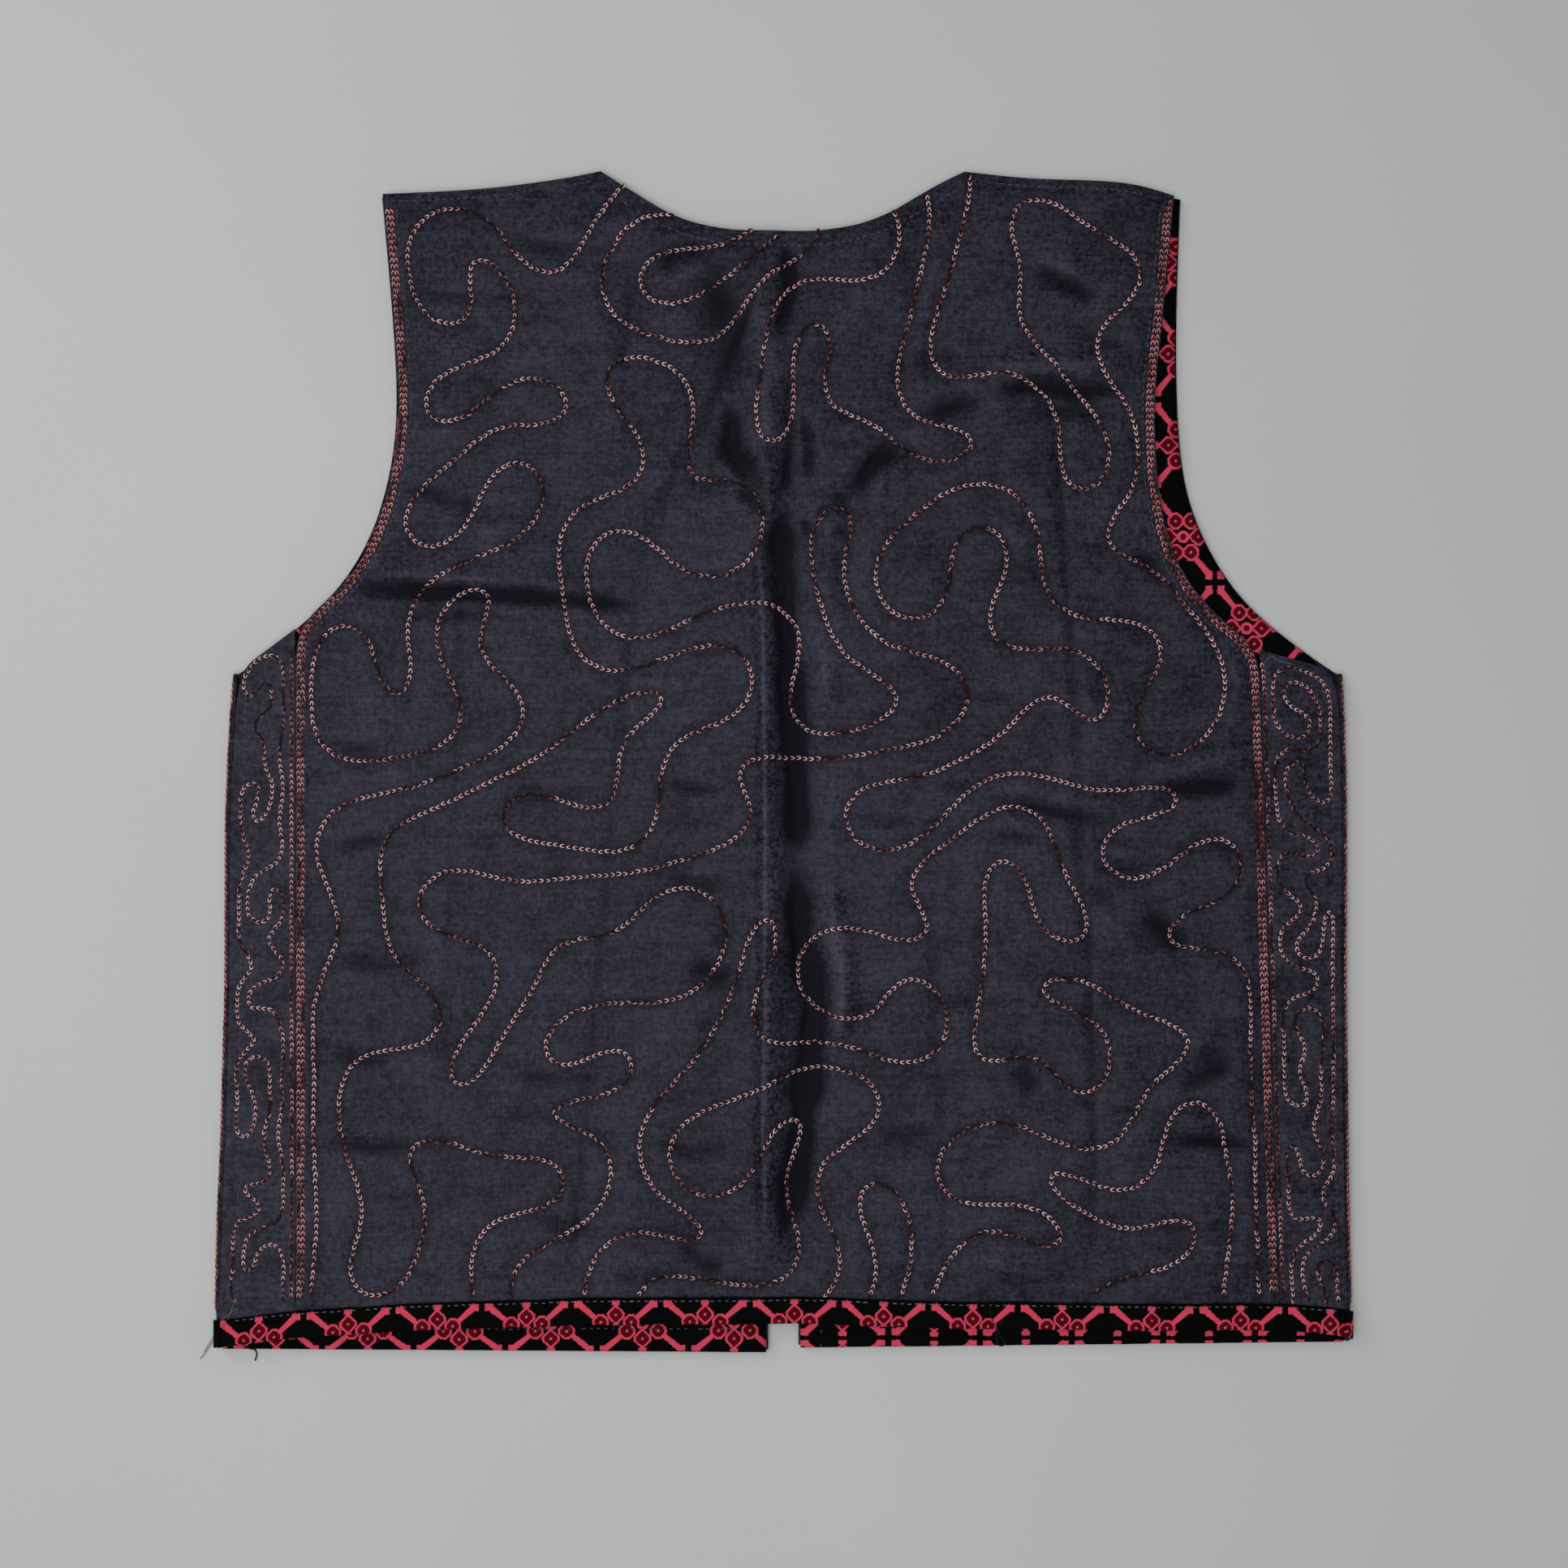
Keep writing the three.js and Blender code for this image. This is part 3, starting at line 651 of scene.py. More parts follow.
def thickened(piece):
    """Gives a sheet its wall, downwards from its upper face."""
    only(piece)
    depth = piece.modifiers.new("wall", "SOLIDIFY")
    depth.thickness = WALL / 1000
    depth.offset = -1
    bpy.ops.object.modifier_apply(modifier="wall")
    bpy.ops.object.shade_smooth_by_angle(angle=SMOOTH_ANGLE)


back_ground = ground(back.data)
thickened(back)


def satin_material(name):
    """Dark navy satin: fine slub threads and soft cloudy wear. Painted shade darkens it down in its creases
    and round the stitches, a painted highlight lightens it on ridges, and it is duller in the creases.
    """
    material, shades, shader = new_material(
        name, Specular_IOR_Level=0.15, Specular_Tint=(0.82, 0.82, 1.0, 1.0)
    )
    place = shades.place()
    fold = shades.stored("fold")
    slub = place.noise(900.0, 3.0, (0.06, 1.3, 1.0)) - 0.5
    weft = place.noise(1500.0, 2.0, (0.4, 1.4, 1.0)) - 0.5
    warp = place.noise(1500.0, 2.0, (1.4, 0.16, 1.0)) - 0.5
    mottle = place.noise(560.0, 2.0, (0.8, 1.0, 1.0)) - 0.5
    cloudy = place.noise(14.0, 4.0) - 0.5
    patchy = place.noise(70.0, 4.0) - 0.5
    streaks = place.noise(260.0, 3.0, (0.10, 1.0, 1.0)) - 0.5
    fine = slub * 0.6 + weft * 0.9 + warp * 0.8 + mottle * 1.1
    shade = 0.33 + fine + cloudy * 0.40 + patchy * 0.55 + streaks * 0.42
    # Painted shade in the creases and round the stitches, and a painted highlight on the ridges.
    shade = shade * (1 - fold * 0.95)
    base = shade.clamped().colours(SATIN_DARK, SATIN_LIGHT)
    rough = 0.42 + slub * 0.16 + weft * 0.12 - patchy * 0.10 + fold * 0.3
    relief = slub * 0.5 + weft * 0.7 + warp * 0.4 + patchy * 0.9
    feed(shades, shader, Base_Color=base, Roughness=rough, Normal=relief.bump(0.55, 0.0002))
    return material


satin = satin_material("navy satin")
back.data.materials.append(satin)
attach(back, "root")
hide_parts("back_panel")

# ---- Side panels ----
# A side panel is a strip of the same satin between the back's seam and the side fold, cut off slanting
# by the armhole. It lies level with the back and carries a small dense line of its own.
SIDES = ("left", "right")
STRIP_HEM = 9.0
STRIP_CUT = {"left": ((0.036, 0.302), 0.0092), "right": ((0.040, 0.292), 0.0093)}
side_grounds = {}
for side in SIDES:
    panel = upper_sheet(f"side_panel_{side}", f"side_strip_{side}", 4)
    points = in_millimetres(panel.data)
    x, y = points[:, 0], points[:, 1]
    panel_edge = points[border(panel.data)][:, :2]
    inner = smooth_step((distance_to(panel_edge, x, y) - 0.8) / 5)
    above_band = y - STRIP_HEM - BAND_COVER
    lift = 0.5 * ripple(x, y, 40, 31) + 0.25 * ripple(x, y, 14, 32) + 0.12 * ripple(x, y, 7, 33)
    lift = lift * inner * smooth_step(above_band / 12)
    lift = lift + hem_wave(x) * (1 - smooth_step(above_band / 30))
    points[:, 2] += lift
    move_points(panel.data, points)
    side_grounds[side] = ground(panel.data)
    thickened(panel)
    panel.data.materials.append(satin)
    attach(panel, "root")
    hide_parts(f"side_panel_{side}")
    flat, area = STRIP_CUT[side]

# ---- Fronts and their linings ----
# The two satin fronts lie face down under the back and turn up round the side folds. A printed cotton, rose
# lattice and dark red florets on black, lines each front, shows beside the right armhole and wraps the
# fronts' hem as a band.
fronts, front_grounds = {}, {}


def smooth_wall(node, name, levels):
    """A node's whole wall made finer, with its cut edges kept sharp."""
    piece = merged_copy(node, name)
    edit_mode()
    bpy.ops.mesh.select_mode(type="EDGE")
    bpy.ops.mesh.select_all(action="DESELECT")
    bpy.ops.mesh.edges_select_sharp(sharpness=math.radians(62))
    bpy.ops.transform.edge_crease(value=1.0)
    object_mode()
    subdivided(piece, levels)
    bpy.ops.object.shade_smooth_by_angle(angle=SMOOTH_ANGLE)
    return piece


for side in SIDES:
    front = smooth_wall(f"front_{side}", f"front_cloth_{side}", 2)
    front_grounds[side] = ground(front.data)
    front.data.materials.append(satin)
    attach(front, "root")
    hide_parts(f"front_{side}")
    fronts[side] = front

ROSE = (0.80, 0.082, 0.142)
FADED_ROSE = (0.55, 0.045, 0.085)
DARK_RED = (0.135, 0.0025, 0.0065)
OLD_RED = (0.062, 0.001, 0.003)
PRINT_BLACK = (0.0012, 0.0010, 0.0013)
HEART_PINK = (0.62, 0.13, 0.17)
REPEAT_ACROSS, REPEAT_UP = 38.0, 27.0
TIP_FLORET = 6.4
SIDE_FLORET = (6.5, 3.2)
ARM_SLOPE, ARM_SQUARE = 0.86, 0.76
ARM_END = 15.6
FOOT = (15.9, 10.9)
STEM_END = 12.0
SOFT = 0.3


def print_material(name):
    """The cotton print, charted on the "lie" of the cloth in millimetres from a rosette's middle."""
    material, shades, shader = new_material(name, Specular_IOR_Level=0.06)
    lie = shades.stored("lie", output=1)
    unsteady = (lie.noise(0.9, 2.0) - 0.5) * 0.8
    across = shades.node("ShaderNodeSeparateXYZ", {}, {"Vector": lie}, output=0) + unsteady
    up = shades.node("ShaderNodeSeparateXYZ", {}, {"Vector": lie}, output=1) + unsteady
    ax = across.math("PINGPONG", across, REPEAT_ACROSS / 2)
    ay = up.math("PINGPONG", up, REPEAT_UP / 2)
    tip_y = ay - TIP_FLORET
    side_x = ax - SIDE_FLORET[0]
    side_y = ay - SIDE_FLORET[1]
    tip = ((ax + abs(tip_y)) * 0.80).most(ax).most(abs(tip_y) * 0.86)
    side = abs(side_x).most(abs(side_y)).most((abs(side_x) + abs(side_y)) * 0.76)
    middle = (ax * ax + ay * ay).math("SQRT", ax * ax + ay * ay)
    off_arm = abs((side_y - side_x * ARM_SLOPE) * ARM_SQUARE)
    arm = (0.0 - side_x).below(0.0, SOFT) * (off_arm - side_x * 0.06).below(0.85, SOFT)
    arm = arm * ax.below(ARM_END, SOFT)
    foot = abs(ax - FOOT[0]).most(abs(ay - FOOT[1]) * 1.2).below(1.75, SOFT)
    stem = ax.below(0.95, SOFT) * (0.0 - tip_y).below(0.0, SOFT) * ay.below(STEM_END, SOFT)
    stem_foot = (ax * 0.8).most(abs(ay - 11.6) * 1.4).below(1.3, SOFT)
    rose_here = tip.below(3.7, SOFT).most(side.below(3.5, SOFT)).most(middle.below(2.6, SOFT))
    rose_here = rose_here.most(arm).most(foot).most(stem).most(stem_foot)
    flower = tip.below(2.75, 0.25).most(side.below(2.6, 0.25))
    heart = (ax * ax + tip_y * tip_y).least(side_x * side_x + side_y * side_y).below(0.30, 0.25)
    thread = lie.noise(3.2, 2.0)
    worn = lie.noise(0.35, 3.0)
    rose = (thread * 0.7 + worn * 0.5).clamped().colours(FADED_ROSE, ROSE)
    colour = rose_here.colours(PRINT_BLACK, rose)
    colour = flower.most(middle.below(1.3, 0.25)).colours(colour, thread.colours(OLD_RED, DARK_RED))
    colour = heart.colours(colour, HEART_PINK)
    warp = lie.noise(1.0, 1.0, (3.4, 0.6, 1.0))
    weft = lie.noise(1.0, 1.0, (0.6, 3.4, 1.0))
    weave = (warp + weft).bump(0.5, 0.00015)
    feed(shades, shader, Base_Color=colour, Roughness=0.78 + thread * 0.14, Normal=weave)
    return material


def store_lie(piece, across, up):
    """Keeps where each point lies on the printed cloth, in millimetres from a rosette's middle."""
    store = piece.data.attributes.new("lie", "FLOAT_VECTOR", "POINT")
    store.data.foreach_set("vector", np.column_stack([across, up, 0 * up]).ravel())


def soften(piece, amount, seed, upward=0.0):
    """Small soft puckers over a whole wall."""
    points = in_millimetres(piece.data)
    x, y = points[:, 0], points[:, 1]
    puckers = 0.6 * ripple(x, y, 22, seed) + 0.4 * ripple(x, y, 8, seed + 1)
    points[:, 2] += np.maximum(amount * puckers + upward, 0)
    move_points(piece.data, points)


lining_grounds = {}
cotton_print = print_material("printed cotton")
HEM_ROSETTE = {"left": (-98.9, 12.2), "right": (25.2, 19.6)}
ARMHOLE_ROSETTE = {"left": (425.5, -170.4), "right": (425.5, 170.4)}
CLOTH_STRETCH = 1.026
TURN_HEIGHT = 24.0
for side in SIDES:
    lining = smooth_wall(f"lining_{side}", f"lining_cloth_{side}", 2)
    soften(lining, 0.5, 41, 0.15)
    lining_grounds[side] = ground(lining.data)
    x, y, z = in_millimetres(lining.data).T
    hem_turn = y < TURN_HEIGHT
    hem_x, hem_y = HEM_ROSETTE[side]
    arm_y, arm_x = ARMHOLE_ROSETTE[side]
    across = np.where(hem_turn, x - hem_x, y - arm_y) / CLOTH_STRETCH
    up = np.where(hem_turn, y - hem_y - (z.max() - z), x - arm_x)
    store_lie(lining, across, up)
    lining.data.materials.append(cotton_print)
    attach(lining, "root")
    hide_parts(f"lining_{side}")

# ---- Hem band of the back, and its corners ----
# A straight band of the same print is folded over the hem of the back and the side panels, and a short
# corner closes it at each side fold, down to the fronts' hem.
band = smooth_wall("band_back", "hem_band", 2)
points = in_millimetres(band.data)
x, y = points[:, 0], points[:, 1]
points[:, 2] += hem_wave(x) + 0.22 * ripple(x, y, 9, 51) + 0.1 * ripple(x, y, 5, 52)
points[:, 1] += 0.35 * ripple(x, 0 * x, 30, 53)
move_points(band.data, points)
band_ground = ground(band.data)
band_x = np.linspace(-236, 236, 160)
band_top = np.array([points[np.abs(points[:, 0] - at) < 6][:, 1].max() for at in band_x])
band_top = np.convolve(np.pad(band_top, 4, mode="edge"), np.ones(9) / 9, mode="valid")
BAND_ROSETTE = (4.7, -13.4)
BAND_SHRINK = 1.005
x, y, z = points.T
turned_under = np.maximum(z.max() - 1.6 - z, 0)
below_top = y - np.interp(x, band_x, band_top)
store_lie(band, (x - BAND_ROSETTE[0]) * BAND_SHRINK, below_top - BAND_ROSETTE[1] - turned_under)
band.data.materials.append(cotton_print)
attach(band, "root")
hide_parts("band_back")
for side, sign in (("left", -1), ("right", 1)):
    corner = smooth_wall(f"band_corner_{side}", f"hem_corner_{side}", 2)
    x, y, z = in_millimetres(corner.data).T
    store_lie(corner, x - BAND_ROSETTE[0] + (z.max() - z) * sign, y - band_top[-1] - BAND_ROSETTE[1])
    corner.data.materials.append(cotton_print)
    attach(corner, "root")
    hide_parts(f"band_corner_{side}")

# ---- Chain stitches ----
# Every line of embroidery is a row of chain stitches in a thick twisted cotton thread: each link is a loop
# that is narrow where it rises out of the link before it and round at its head.
LINK_PITCH = 2.75
LINK_SEGMENTS, LINK_SIDES = 12, 3
LINK_SINK = 0.16
LINK_TURN = 0.09


def taken_apart(piece):
    """A piece's points and faces. The piece itself goes."""
    shape = np.array([v.co for v in piece.data.vertices])
    faces = [tuple(face.vertices) for face in piece.data.polygons]
    bpy.data.objects.remove(piece)
    return shape, faces


def new_link():
    """One link as a mesh: a loop of thread with a narrow, low tail at -x and a round head at +x."""
    bpy.ops.object.select_all(action="DESELECT")
    bpy.ops.mesh.primitive_torus_add(
        major_segments=LINK_SEGMENTS, minor_segments=LINK_SIDES, major_radius=0.8, minor_radius=0.32
    )
    link = bpy.context.object
    edit_mode()
    bpy.ops.transform.resize(value=(1.56, 0.80, 0.95))
    for limit, squeeze, lower in ((-0.1, 0.86, -0.05), (-0.8, 0.66, -0.16)):
        bpy.ops.mesh.select_all(action="DESELECT")
        object_mode()
        for vertex in link.data.vertices:
            vertex.select = vertex.co.x < limit
        edit_mode()
        bpy.ops.transform.resize(value=(1, squeeze, 1), center_override=(0, 0, 0))
        bpy.ops.transform.translate(value=(0, 0, lower))
    object_mode()
    return taken_apart(link)


# A small dark floor inside each loop is partly painted shade in the loop's hollow and partly the black thread
# that lies in its middle.
link_shape, link_faces = new_link()
across_link = link_shape.reshape(LINK_SEGMENTS, LINK_SIDES, 3)
shade_core = across_link.mean(axis=1) * (0.88, 0.88, 1) + (0, 0, 0.02)
last = LINK_SEGMENTS - 1
shade_core_faces = [(i, i + 1, last - 1 - i, last - i) for i in range(LINK_SEGMENTS // 2 - 1)]
link_faces = link_faces + [tuple(len(link_shape) + n for n in face) for face in shade_core_faces]
link_shade_core = np.concatenate([np.zeros(len(link_shape)), np.ones(len(shade_core))])
link_shape = np.concatenate([link_shape, shade_core])


def height_at(grounds, x, y):
    """Highest cloth under a place, in metres, and its slope."""
    best = None
    for sheet in grounds:
        spot, normal, _, _ = sheet.ray_cast(Vector((x, y, 0.05)), Vector((0, 0, -1)))
        if spot and (best is None or spot.z > best[0]):
            best = (spot.z, normal if normal.z > 0 else -normal)
    return best


def along_line(line, pitch, rng, jitter=0.1):
    """Places a pitch apart along a line in millimetres: place, direction and distance run."""
    run = distance_run(line)
    at = np.arange(pitch / 2, run[-1], pitch)
    at = at + rng.normal(0, jitter * 0.5, len(at))
    spot = np.column_stack([np.interp(at, run, line[:, k]) for k in (0, 1)])
    ahead = np.column_stack([np.interp(at + pitch * 0.5, run, line[:, k]) for k in (0, 1)])
    behind = np.column_stack([np.interp(at - pitch * 0.5, run, line[:, k]) for k in (0, 1)])
    way = ahead - behind
    way = way / np.maximum(np.linalg.norm(way, axis=1, keepdims=True), 1e-9)
    spot = spot + rng.normal(0, jitter, spot.shape)
    turn = rng.normal(0, LINK_TURN, len(at))
    aside = np.column_stack([-way[:, 1], way[:, 0]])
    way = way * np.cos(turn)[:, None] + aside * np.sin(turn)[:, None]
    return spot, way, at


def arrayed(name, shape, faces, spots, ways, sizes, grounds, sink, values):
    """One mesh of many copies of a shape, each on the cloth, along its line. values are stored per point."""
    rows, kept = [], []
    for i, ((x, y), (wx, wy)) in enumerate(zip(spots, ways)):
        found = height_at(grounds, x / 1000, y / 1000 + HEM)
        if found is None:
            continue
        z, normal = found
        ahead = Vector((wx, wy, 0))
        ahead = (ahead - normal * ahead.dot(normal)).normalized()
        aside = normal.cross(ahead)
        origin = Vector((x / 1000, y / 1000 + HEM, z)) + normal * (sink / 1000)
        scaled = shape * (sizes[i] / 1000)
        rows.append(scaled @ np.array([ahead, aside, normal]) + np.array(origin))
        kept.append(i)
    points = np.concatenate(rows)
    index = np.array(faces)
    offsets = np.arange(len(rows)) * len(shape)
    all_faces = (index[None] + offsets[:, None, None]).reshape(-1, index.shape[1])
    mesh = bpy.data.meshes.new(name)
    mesh.from_pydata(points.tolist(), [], all_faces.tolist())
    for key, per_shape in values.items():
        store_value(mesh, key, per_shape[kept])
    mesh.shade_smooth()
    piece = bpy.data.objects.new(name, mesh)
    bpy.context.collection.objects.link(piece)
    return piece


def space_dye(run, seed, pink_share):
    """How pink the thread is along its run, from 0 black to 1: long uneven stretches of each."""
    wave = ripple(run, 0 * run, 80, seed) * 0.55 + ripple(run, 0 * run, 16, seed + 1) * 0.75
    return np.clip(0.62 + wave + (pink_share - 0.5) * 1.6, 0.0, 1.0)


def chain_row(name, lines, grounds, seed, pink_share, scale=1.0, red=0.0):
    """Rows of chain stitches along lines in millimetres, as one piece."""
    rng = np.random.default_rng(seed)
    spots, ways, runs = [], [], []
    for line in lines:
        spot, way, run = along_line(line, LINK_PITCH * scale, rng)
        spots.append(spot)
        ways.append(way)
        runs.append(run + 1000 * len(runs))
    spots, ways, runs = np.concatenate(spots), np.concatenate(ways), np.concatenate(runs)
    count = len(spots)
    sizes = rng.normal(1, 0.06, (count, 1, 1)) * scale
    dye = space_dye(runs, seed, pink_share) + rng.normal(0, 0.12, count)
    # Each link's low tail, where it dives under the link before, is dark on every link: partly painted shade
    # and partly the black of the thread.
    ahead = smooth_step((link_shape[:, 0] + 0.8) / 0.8)
    aside = np.sign(link_shape[:, 1]) * rng.normal(0.0, 0.16, (count, 1))
    pink = (dye[:, None] * 0.8 + 0.22 + aside) * (0.04 + 0.96 * ahead)
    # The dark floor takes no pink: painted shade in the loop's hollow, and partly the black thread.
    pink = pink * (1 - link_shade_core)
    redness = (red + rng.normal(0, 0.08, (count, 1))) * (1 - link_shade_core)
    values = {"pink": np.clip(pink * 1.06, 0, 1), "red": np.clip(redness, 0, 1)}
    return arrayed(name, link_shape, link_faces, spots, ways, sizes, grounds, LINK_SINK, values)


thread_cotton, shades, shader = new_material("space dyed thread and painted shade", Specular_IOR_Level=0.2)
# The stored pink amount holds the thread's dye together with the painted shade at each link's tail and in its
# hollow.
pink = shades.stored("pink")
red = shades.stored("red")
place = shades.place()
strands = place.noise(2600.0, 2.0)
dusty = shades.node(
    "ShaderNodeValToRGB",
    {
        "stops": [
            (0.0, (0.0015, 0.001, 0.0015)),
            (0.3, (0.032, 0.003, 0.006)),
            (0.5, (0.27, 0.085, 0.098)),
            (0.72, (0.60, 0.285, 0.30)),
            (1.0, (0.90, 0.58, 0.60)),
        ]
    },
    {"Fac": pink + (strands - 0.5) * 0.5},
)
brick = (pink + (strands - 0.5) * 0.4).clamped().colours((0.0015, 0.001, 0.0015), (0.68, 0.18, 0.17))
twist = strands.bump(0.6, 0.00012)
feed(shades, shader, Base_Color=red.colours(dusty, brick), Roughness=0.55 + strands * 0.2, Normal=twist)


def edge_between(start, end):
    """The back's edge from one named corner to the next, in order."""
    ends = [np.argmin(np.hypot(*(back_edge - BACK_CORNERS[name]).T)) for name in (start, end)]
    count = len(back_edge)
    ahead = (ends[1] - ends[0]) % count
    if ahead <= count / 2:
        numbers = [(ends[0] + i) % count for i in range(ahead + 1)]
    else:
        numbers = [(ends[0] - i) % count for i in range(count - ahead + 1)]
    return back_edge[numbers]


MIDDLE = np.array([0.0, 250.0])


def inset(line, depth, trim=(0.0, 0.0)):
    """A line moved sideways towards the middle of the back, with its ends cut back."""
    line = even(line, 3.0)
    way = np.gradient(line, axis=0)
    for _ in range(3):
        way = (np.roll(way, 1, 0) + way + np.roll(way, -1, 0)) / 3
    way[0], way[-1] = way[1], way[-2]
    way /= np.linalg.norm(way, axis=1, keepdims=True)
    side = np.column_stack([-way[:, 1], way[:, 0]])
    if ((MIDDLE - line.mean(0)) * side.mean(0)).sum() < 0:
        side = -side
    moved = line + side * depth
    run = distance_run(moved)
    keep = (run >= trim[0]) & (run <= run[-1] - trim[1])
    return moved[keep]


SHORTEST_ARC = 24
MEANDER_HEM = 24.5
STRIP_MEANDER_HEM = 22.0
ROW_DEPTHS = (1.4, 3.15)
OUTER_ROW_DEPTH = -1.65
edge_lines = {side: edge_between(f"{side} foot", f"{side} tip") for side in SIDES}
seams = {side: edge_between(f"{side} foot", f"{side} underarm") for side in SIDES}
armholes = {side: edge_between(f"{side} underarm", f"{side} tip") for side in SIDES}
all_grounds = [back_ground, *side_grounds.values(), *front_grounds.values()]

line = even(meander, 1.2, closed=True)
line = np.vstack([line, line[:1]])
half = len(line) // 2
stitch_pieces = []
for number, stretch in ((1, line[: half + 1]), (2, line[half:])):
    within = inside(stretch, back_edge) & (stretch[:, 1] > MEANDER_HEM)
    parts = np.split(stretch, np.nonzero(np.diff(within.astype(int)))[0] + 1)
    parts = [part for part in parts if len(part) > SHORTEST_ARC and part[:, 1].min() > MEANDER_HEM - 0.5]
    parts = [part for part in parts if inside(part[len(part) // 2][None], back_edge)[0]]
    stitch_pieces.append(chain_row(f"meander_back_{number}", parts, [back_ground], 4 + number, 0.56))
for i, (side, edge) in enumerate(edge_lines.items()):
    rows = [inset(edge, depth, (13, 3)) for depth in ROW_DEPTHS]
    stitch_pieces.append(chain_row(f"edge_rows_{side}", rows, all_grounds, 60 + i, 0.54, 0.95, 0.60))
    outer_row = inset(seams[side], OUTER_ROW_DEPTH, (13, 4))
    stitch_pieces.append(chain_row(f"outer_row_{side}", [outer_row], all_grounds, 70 + i, 0.32, 0.9, 0.35))

# The small dense line on each side panel.
PANEL_AREA = {
    "left": [(-210.6, 10), (-210.6, 306), (-221, 299), (-231.5, 290), (-232, 250), (-235, 90), (-237, 10)],
    "right": [(214.5, 10), (205.7, 297), (222, 292), (234, 287), (235.5, 200), (236, 90), (237.5, 10)],
}
for i, side in enumerate(SIDES):
    area = np.array(PANEL_AREA[side], float)
    strip = even(grown_meander(area, 3.7, 21 + i, margin=0.5), 0.9, closed=True)
    strip = np.vstack([strip, strip[:1]])
    keep = strip[:, 1] > STRIP_MEANDER_HEM
    parts = np.split(strip, np.nonzero(np.diff(keep.astype(int)))[0] + 1)
    parts = [part for part in parts if len(part) > SHORTEST_ARC and part[:, 1].mean() > STRIP_MEANDER_HEM]
    stitch_pieces.append(chain_row(f"meander_{side}", parts, [side_grounds[side]], 80 + i, 0.5, 0.9))

# A terracotta row runs along each side fold.
LEFT_FOLD = [(-241.6, 16), (-240.6, 58), (-239.0, 92), (-237.2, 160), (-237.2, 230), (-235.4, 270)]
FOLD_LINES = {
    "left": [*LEFT_FOLD, (-233.9, 286)],
    "right": [(241.6, 16), (240.4, 58), (239.1, 160), (239.3, 230), (238.6, 270), (237.5, 286)],
}
for i, side in enumerate(SIDES):
    line = np.array(FOLD_LINES[side], float)
    stitch_pieces.append(chain_row(f"fold_row_{side}", [line], [front_grounds[side]], 90 + i, 0.6, 0.9, 0.9))

for piece in stitch_pieces:
    piece.data.materials.append(thread_cotton)
    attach(piece, "root")

# ---- Topstitching ----
# A running stitch in sewing thread holds down the turned edges of the neck, shoulders, armholes and side
# folds, in blue grey, and the top of the hem band, in a lighter grey. A few stitches have sunk in.
DASH = 2.0
DASH_PITCH = 3.1
DASH_SINK = 0.02
LOST_DASHES = 0.06


def new_dash():
    """One stitch as a mesh: a short round thread with its ends drawn in."""
    bpy.ops.object.select_all(action="DESELECT")
    bpy.ops.mesh.primitive_uv_sphere_add(segments=6, ring_count=4, radius=1.0, location=(0, 0, 0))
    dash = bpy.context.object
    edit_mode()
    bpy.ops.transform.resize(value=(DASH / 2, 0.25, 0.22))
    bpy.ops.mesh.quads_convert_to_tris()
    object_mode()
    return taken_apart(dash)


dash_shape, dash_faces = new_dash()


def dash_row(name, lines, grounds, seed, material):
    """Running stitches along lines in millimetres, as one piece."""
    rng = np.random.default_rng(seed)
    spots, ways = [], []
    for line in lines:
        spot, way, _ = along_line(line, DASH_PITCH, rng, 0.06)
        spots.append(spot)
        ways.append(way)
    spots, ways = np.concatenate(spots), np.concatenate(ways)
    kept = rng.random(len(spots)) > LOST_DASHES
    spots, ways = spots[kept], ways[kept]
    sizes = rng.normal(1.0, 0.13, (len(spots), 1, 1))
    piece = arrayed(name, dash_shape, dash_faces, spots, ways, sizes, grounds, DASH_SINK, {})
    piece.data.materials.append(material)
    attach(piece, "root")


def thread_material(name, dark, light):
    """Plain sewing thread with its strands."""
    material, shades, shader = new_material(name, Specular_IOR_Level=0.35)
    strands = shades.place().noise(2400.0, 2.0)
    feed(shades, shader, Base_Color=strands.colours(dark, light), Roughness=0.5 + strands * 0.2)
    return material


blue_grey = thread_material("blue grey thread", (0.035, 0.04, 0.06), (0.11, 0.12, 0.16))
light_grey = thread_material("light grey thread", (0.05, 0.05, 0.065), (0.22, 0.22, 0.26))
neck_line = inset(edge_between("left neck", "right neck"), 6.2, (5, 5))
shoulders = [edge_between(f"{side} tip", f"{side} neck") for side in SIDES]
shoulder_lines = [inset(line, 3.5, (5, 3)) for line in shoulders]
armhole_lines = [inset(line, 5.4, (3, 5)) for line in armholes.values()]
back_lines = [neck_line, *shoulder_lines, *armhole_lines]
dash_row("topstitch_back", back_lines, [back_ground], 101, blue_grey)
FOLD_DASHES = {
    "left": [(-232.0, 17), (-231.6, 90), (-230.2, 190), (-228.4, 286)],
    "right": [(235.4, 17), (234.8, 90), (234.3, 200), (232.6, 284)],
}
for i, (side, line) in enumerate(FOLD_DASHES.items()):
    dash_row(f"topstitch_side_{side}", [np.array(line, float)], [side_grounds[side]], 103 + i, blue_grey)
band_line = np.column_stack([band_x, band_top - 1.3])
dash_row("topstitch_band", [band_line], [band_ground], 102, light_grey)
hem_dash_x = np.linspace(-136, -22, 30)
hem_dashes = np.column_stack([hem_dash_x, 10.4 + 0.3 * ripple(hem_dash_x, 0 * hem_dash_x, 30, 61)])
dash_row("topstitch_hem_left", [hem_dashes], [lining_grounds["left"]], 105, blue_grey)
front_edge = np.array([(15.9, 1.6), (16.3, 6.0), (16.1, 10.4)])
dash_row("topstitch_edge_right", [front_edge], [lining_grounds["right"]], 106, blue_grey)

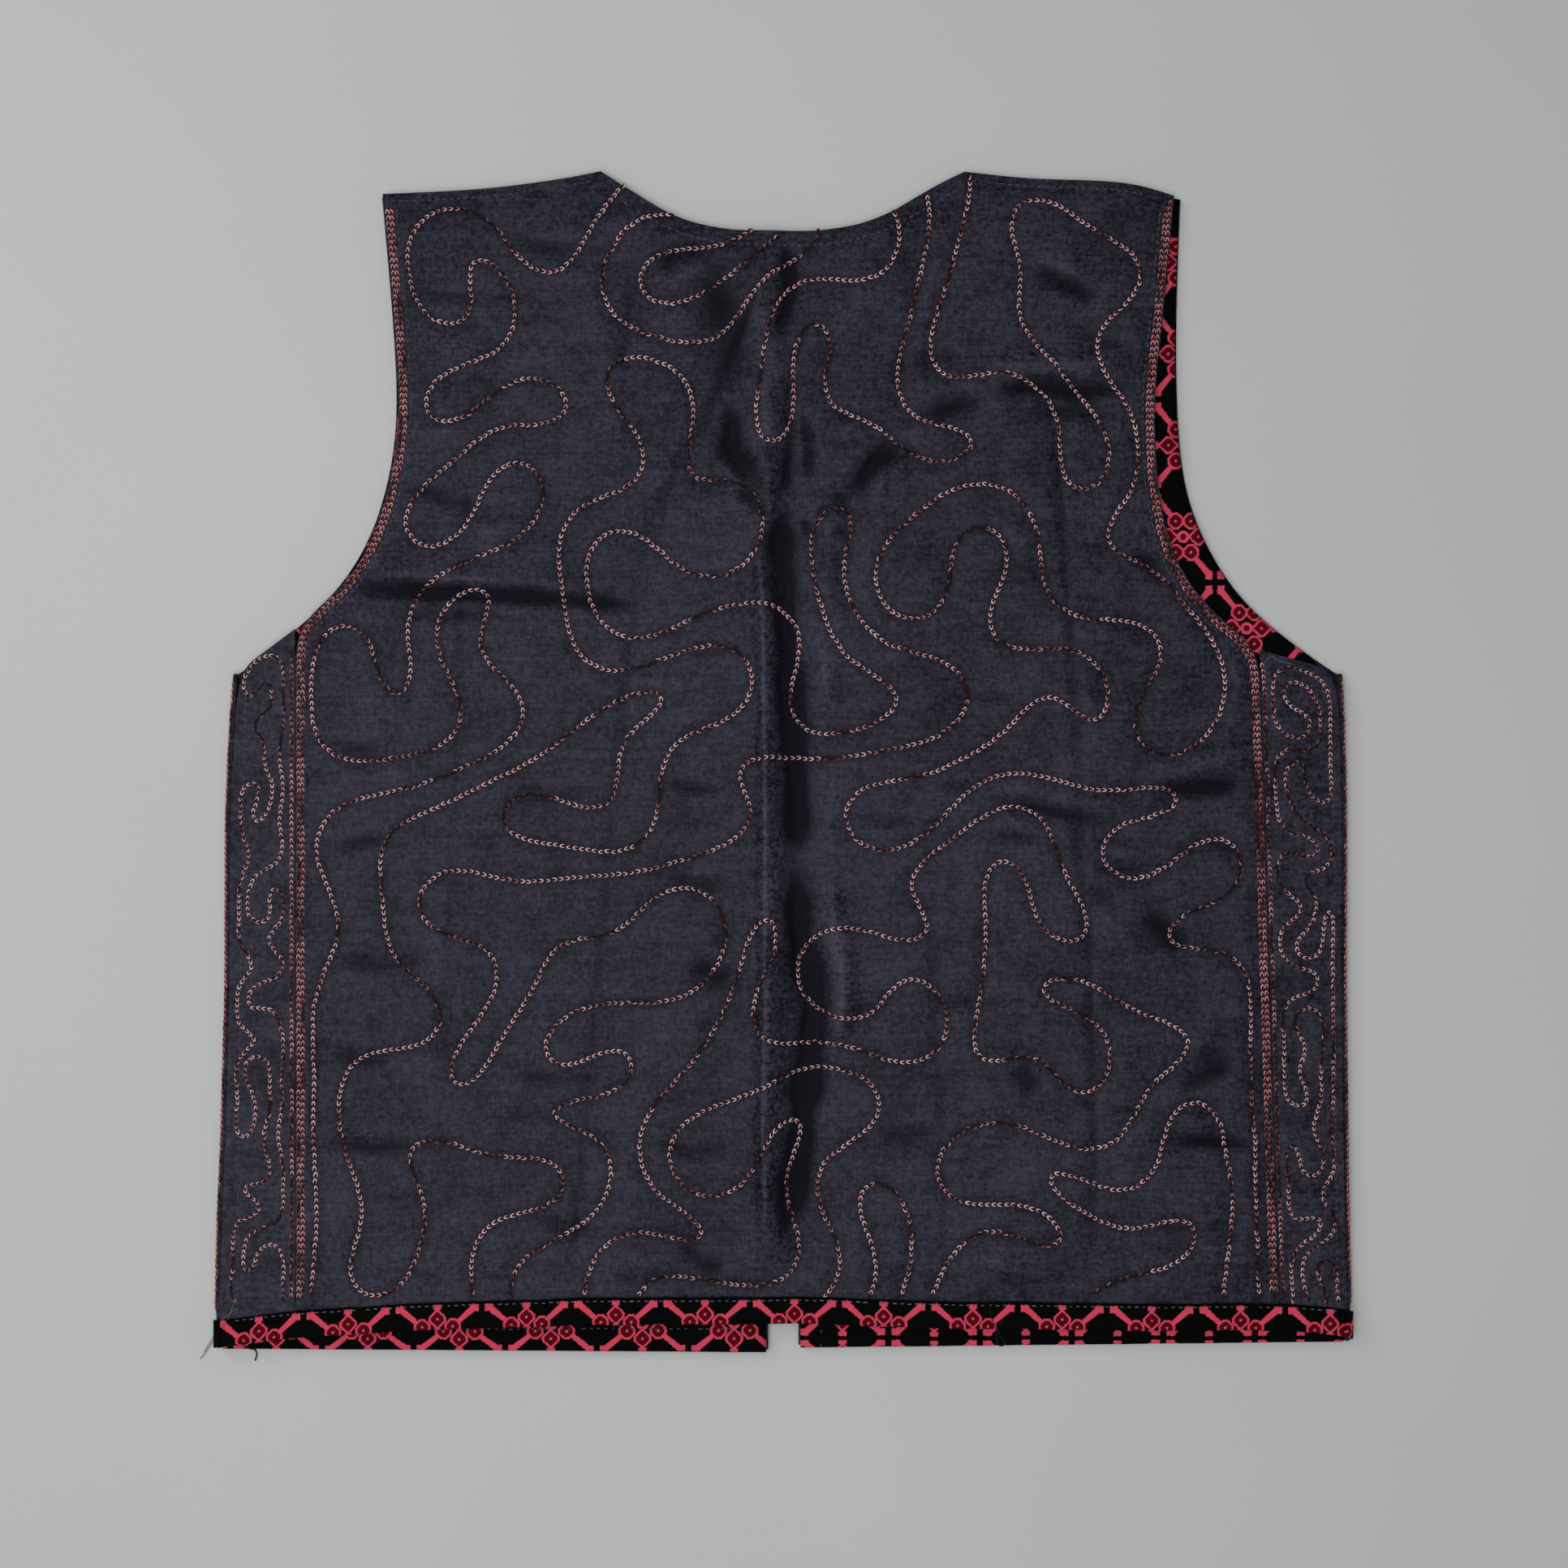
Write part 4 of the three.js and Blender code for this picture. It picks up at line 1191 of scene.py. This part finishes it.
# ---- Loose thread ends ----
# A few cut ends of the embroidery and sewing threads hang out of the hem and the seams and lie where they
# fell: each is one soft round thread on the cloth or on the surface beside it.
LOOSE_THREADS = [
    ("hem_end_long", 0.16, [(-233, 22), (-236, 14), (-241, 9), (-245, 2), (-249, -3.4)]),
    ("hem_end_pale", 0.13, [(-232, 20), (-238, 15), (-243, 7), (-247.5, -0.5)]),
    ("hem_end_black", 0.30, [(-230, 3.5), (-227, 2.0), (-224.4, -0.6), (-225.6, -4.0)]),
    ("seam_tail", 0.2, [(-208.5, 20), (-206.5, 24), (-208, 29), (-205, 33)]),
    ("hem_loop", 0.15, [(90, 30), (93, 27), (97, 26), (99, 29), (96, 32), (93, 30), (94, 25)]),
    ("band_loop", 0.17, [(87, 24), (88, 16), (92, 8), (95, 3), (93, 1.4), (90.5, 4), (91, 10), (93, 16)]),
    ("underarm_end", 0.13, [(204, 293), (207, 297), (212, 294), (217, 293)]),
]
THREAD_COLOURS = {"hem_end_long": light_grey, "hem_end_pale": light_grey, "underarm_end": light_grey}
black_thread = thread_material("black thread", (0.002, 0.002, 0.0025), (0.012, 0.011, 0.013))
every_ground = [*all_grounds, *lining_grounds.values(), band_ground]
for name, radius, spots in LOOSE_THREADS:
    spots = even(np.array(spots, float), 1.0)
    for _ in range(3):
        spots[1:-1] = (spots[:-2] + spots[1:-1] * 2 + spots[2:]) / 4
    curve = bpy.data.curves.new(name, "CURVE")
    curve.dimensions = "3D"
    curve.bevel_depth = radius / 1000
    curve.bevel_resolution = 1
    curve.use_fill_caps = True
    strand = curve.splines.new("POLY")
    strand.points.add(len(spots) - 1)
    for point, (px, py) in zip(strand.points, spots):
        found = height_at(every_ground, px / 1000, py / 1000 + HEM)
        rest = found[0] if found else 0.0
        point.co = (px / 1000, py / 1000 + HEM, rest + radius / 1000, 1.0)
    thread = bpy.data.objects.new(name, curve)
    bpy.context.collection.objects.link(thread)
    only(thread)
    bpy.ops.object.convert(target="MESH")
    thread = bpy.context.object
    bpy.ops.object.shade_smooth()
    thread.data.materials.append(THREAD_COLOURS.get(name, black_thread))
    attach(thread, "root")
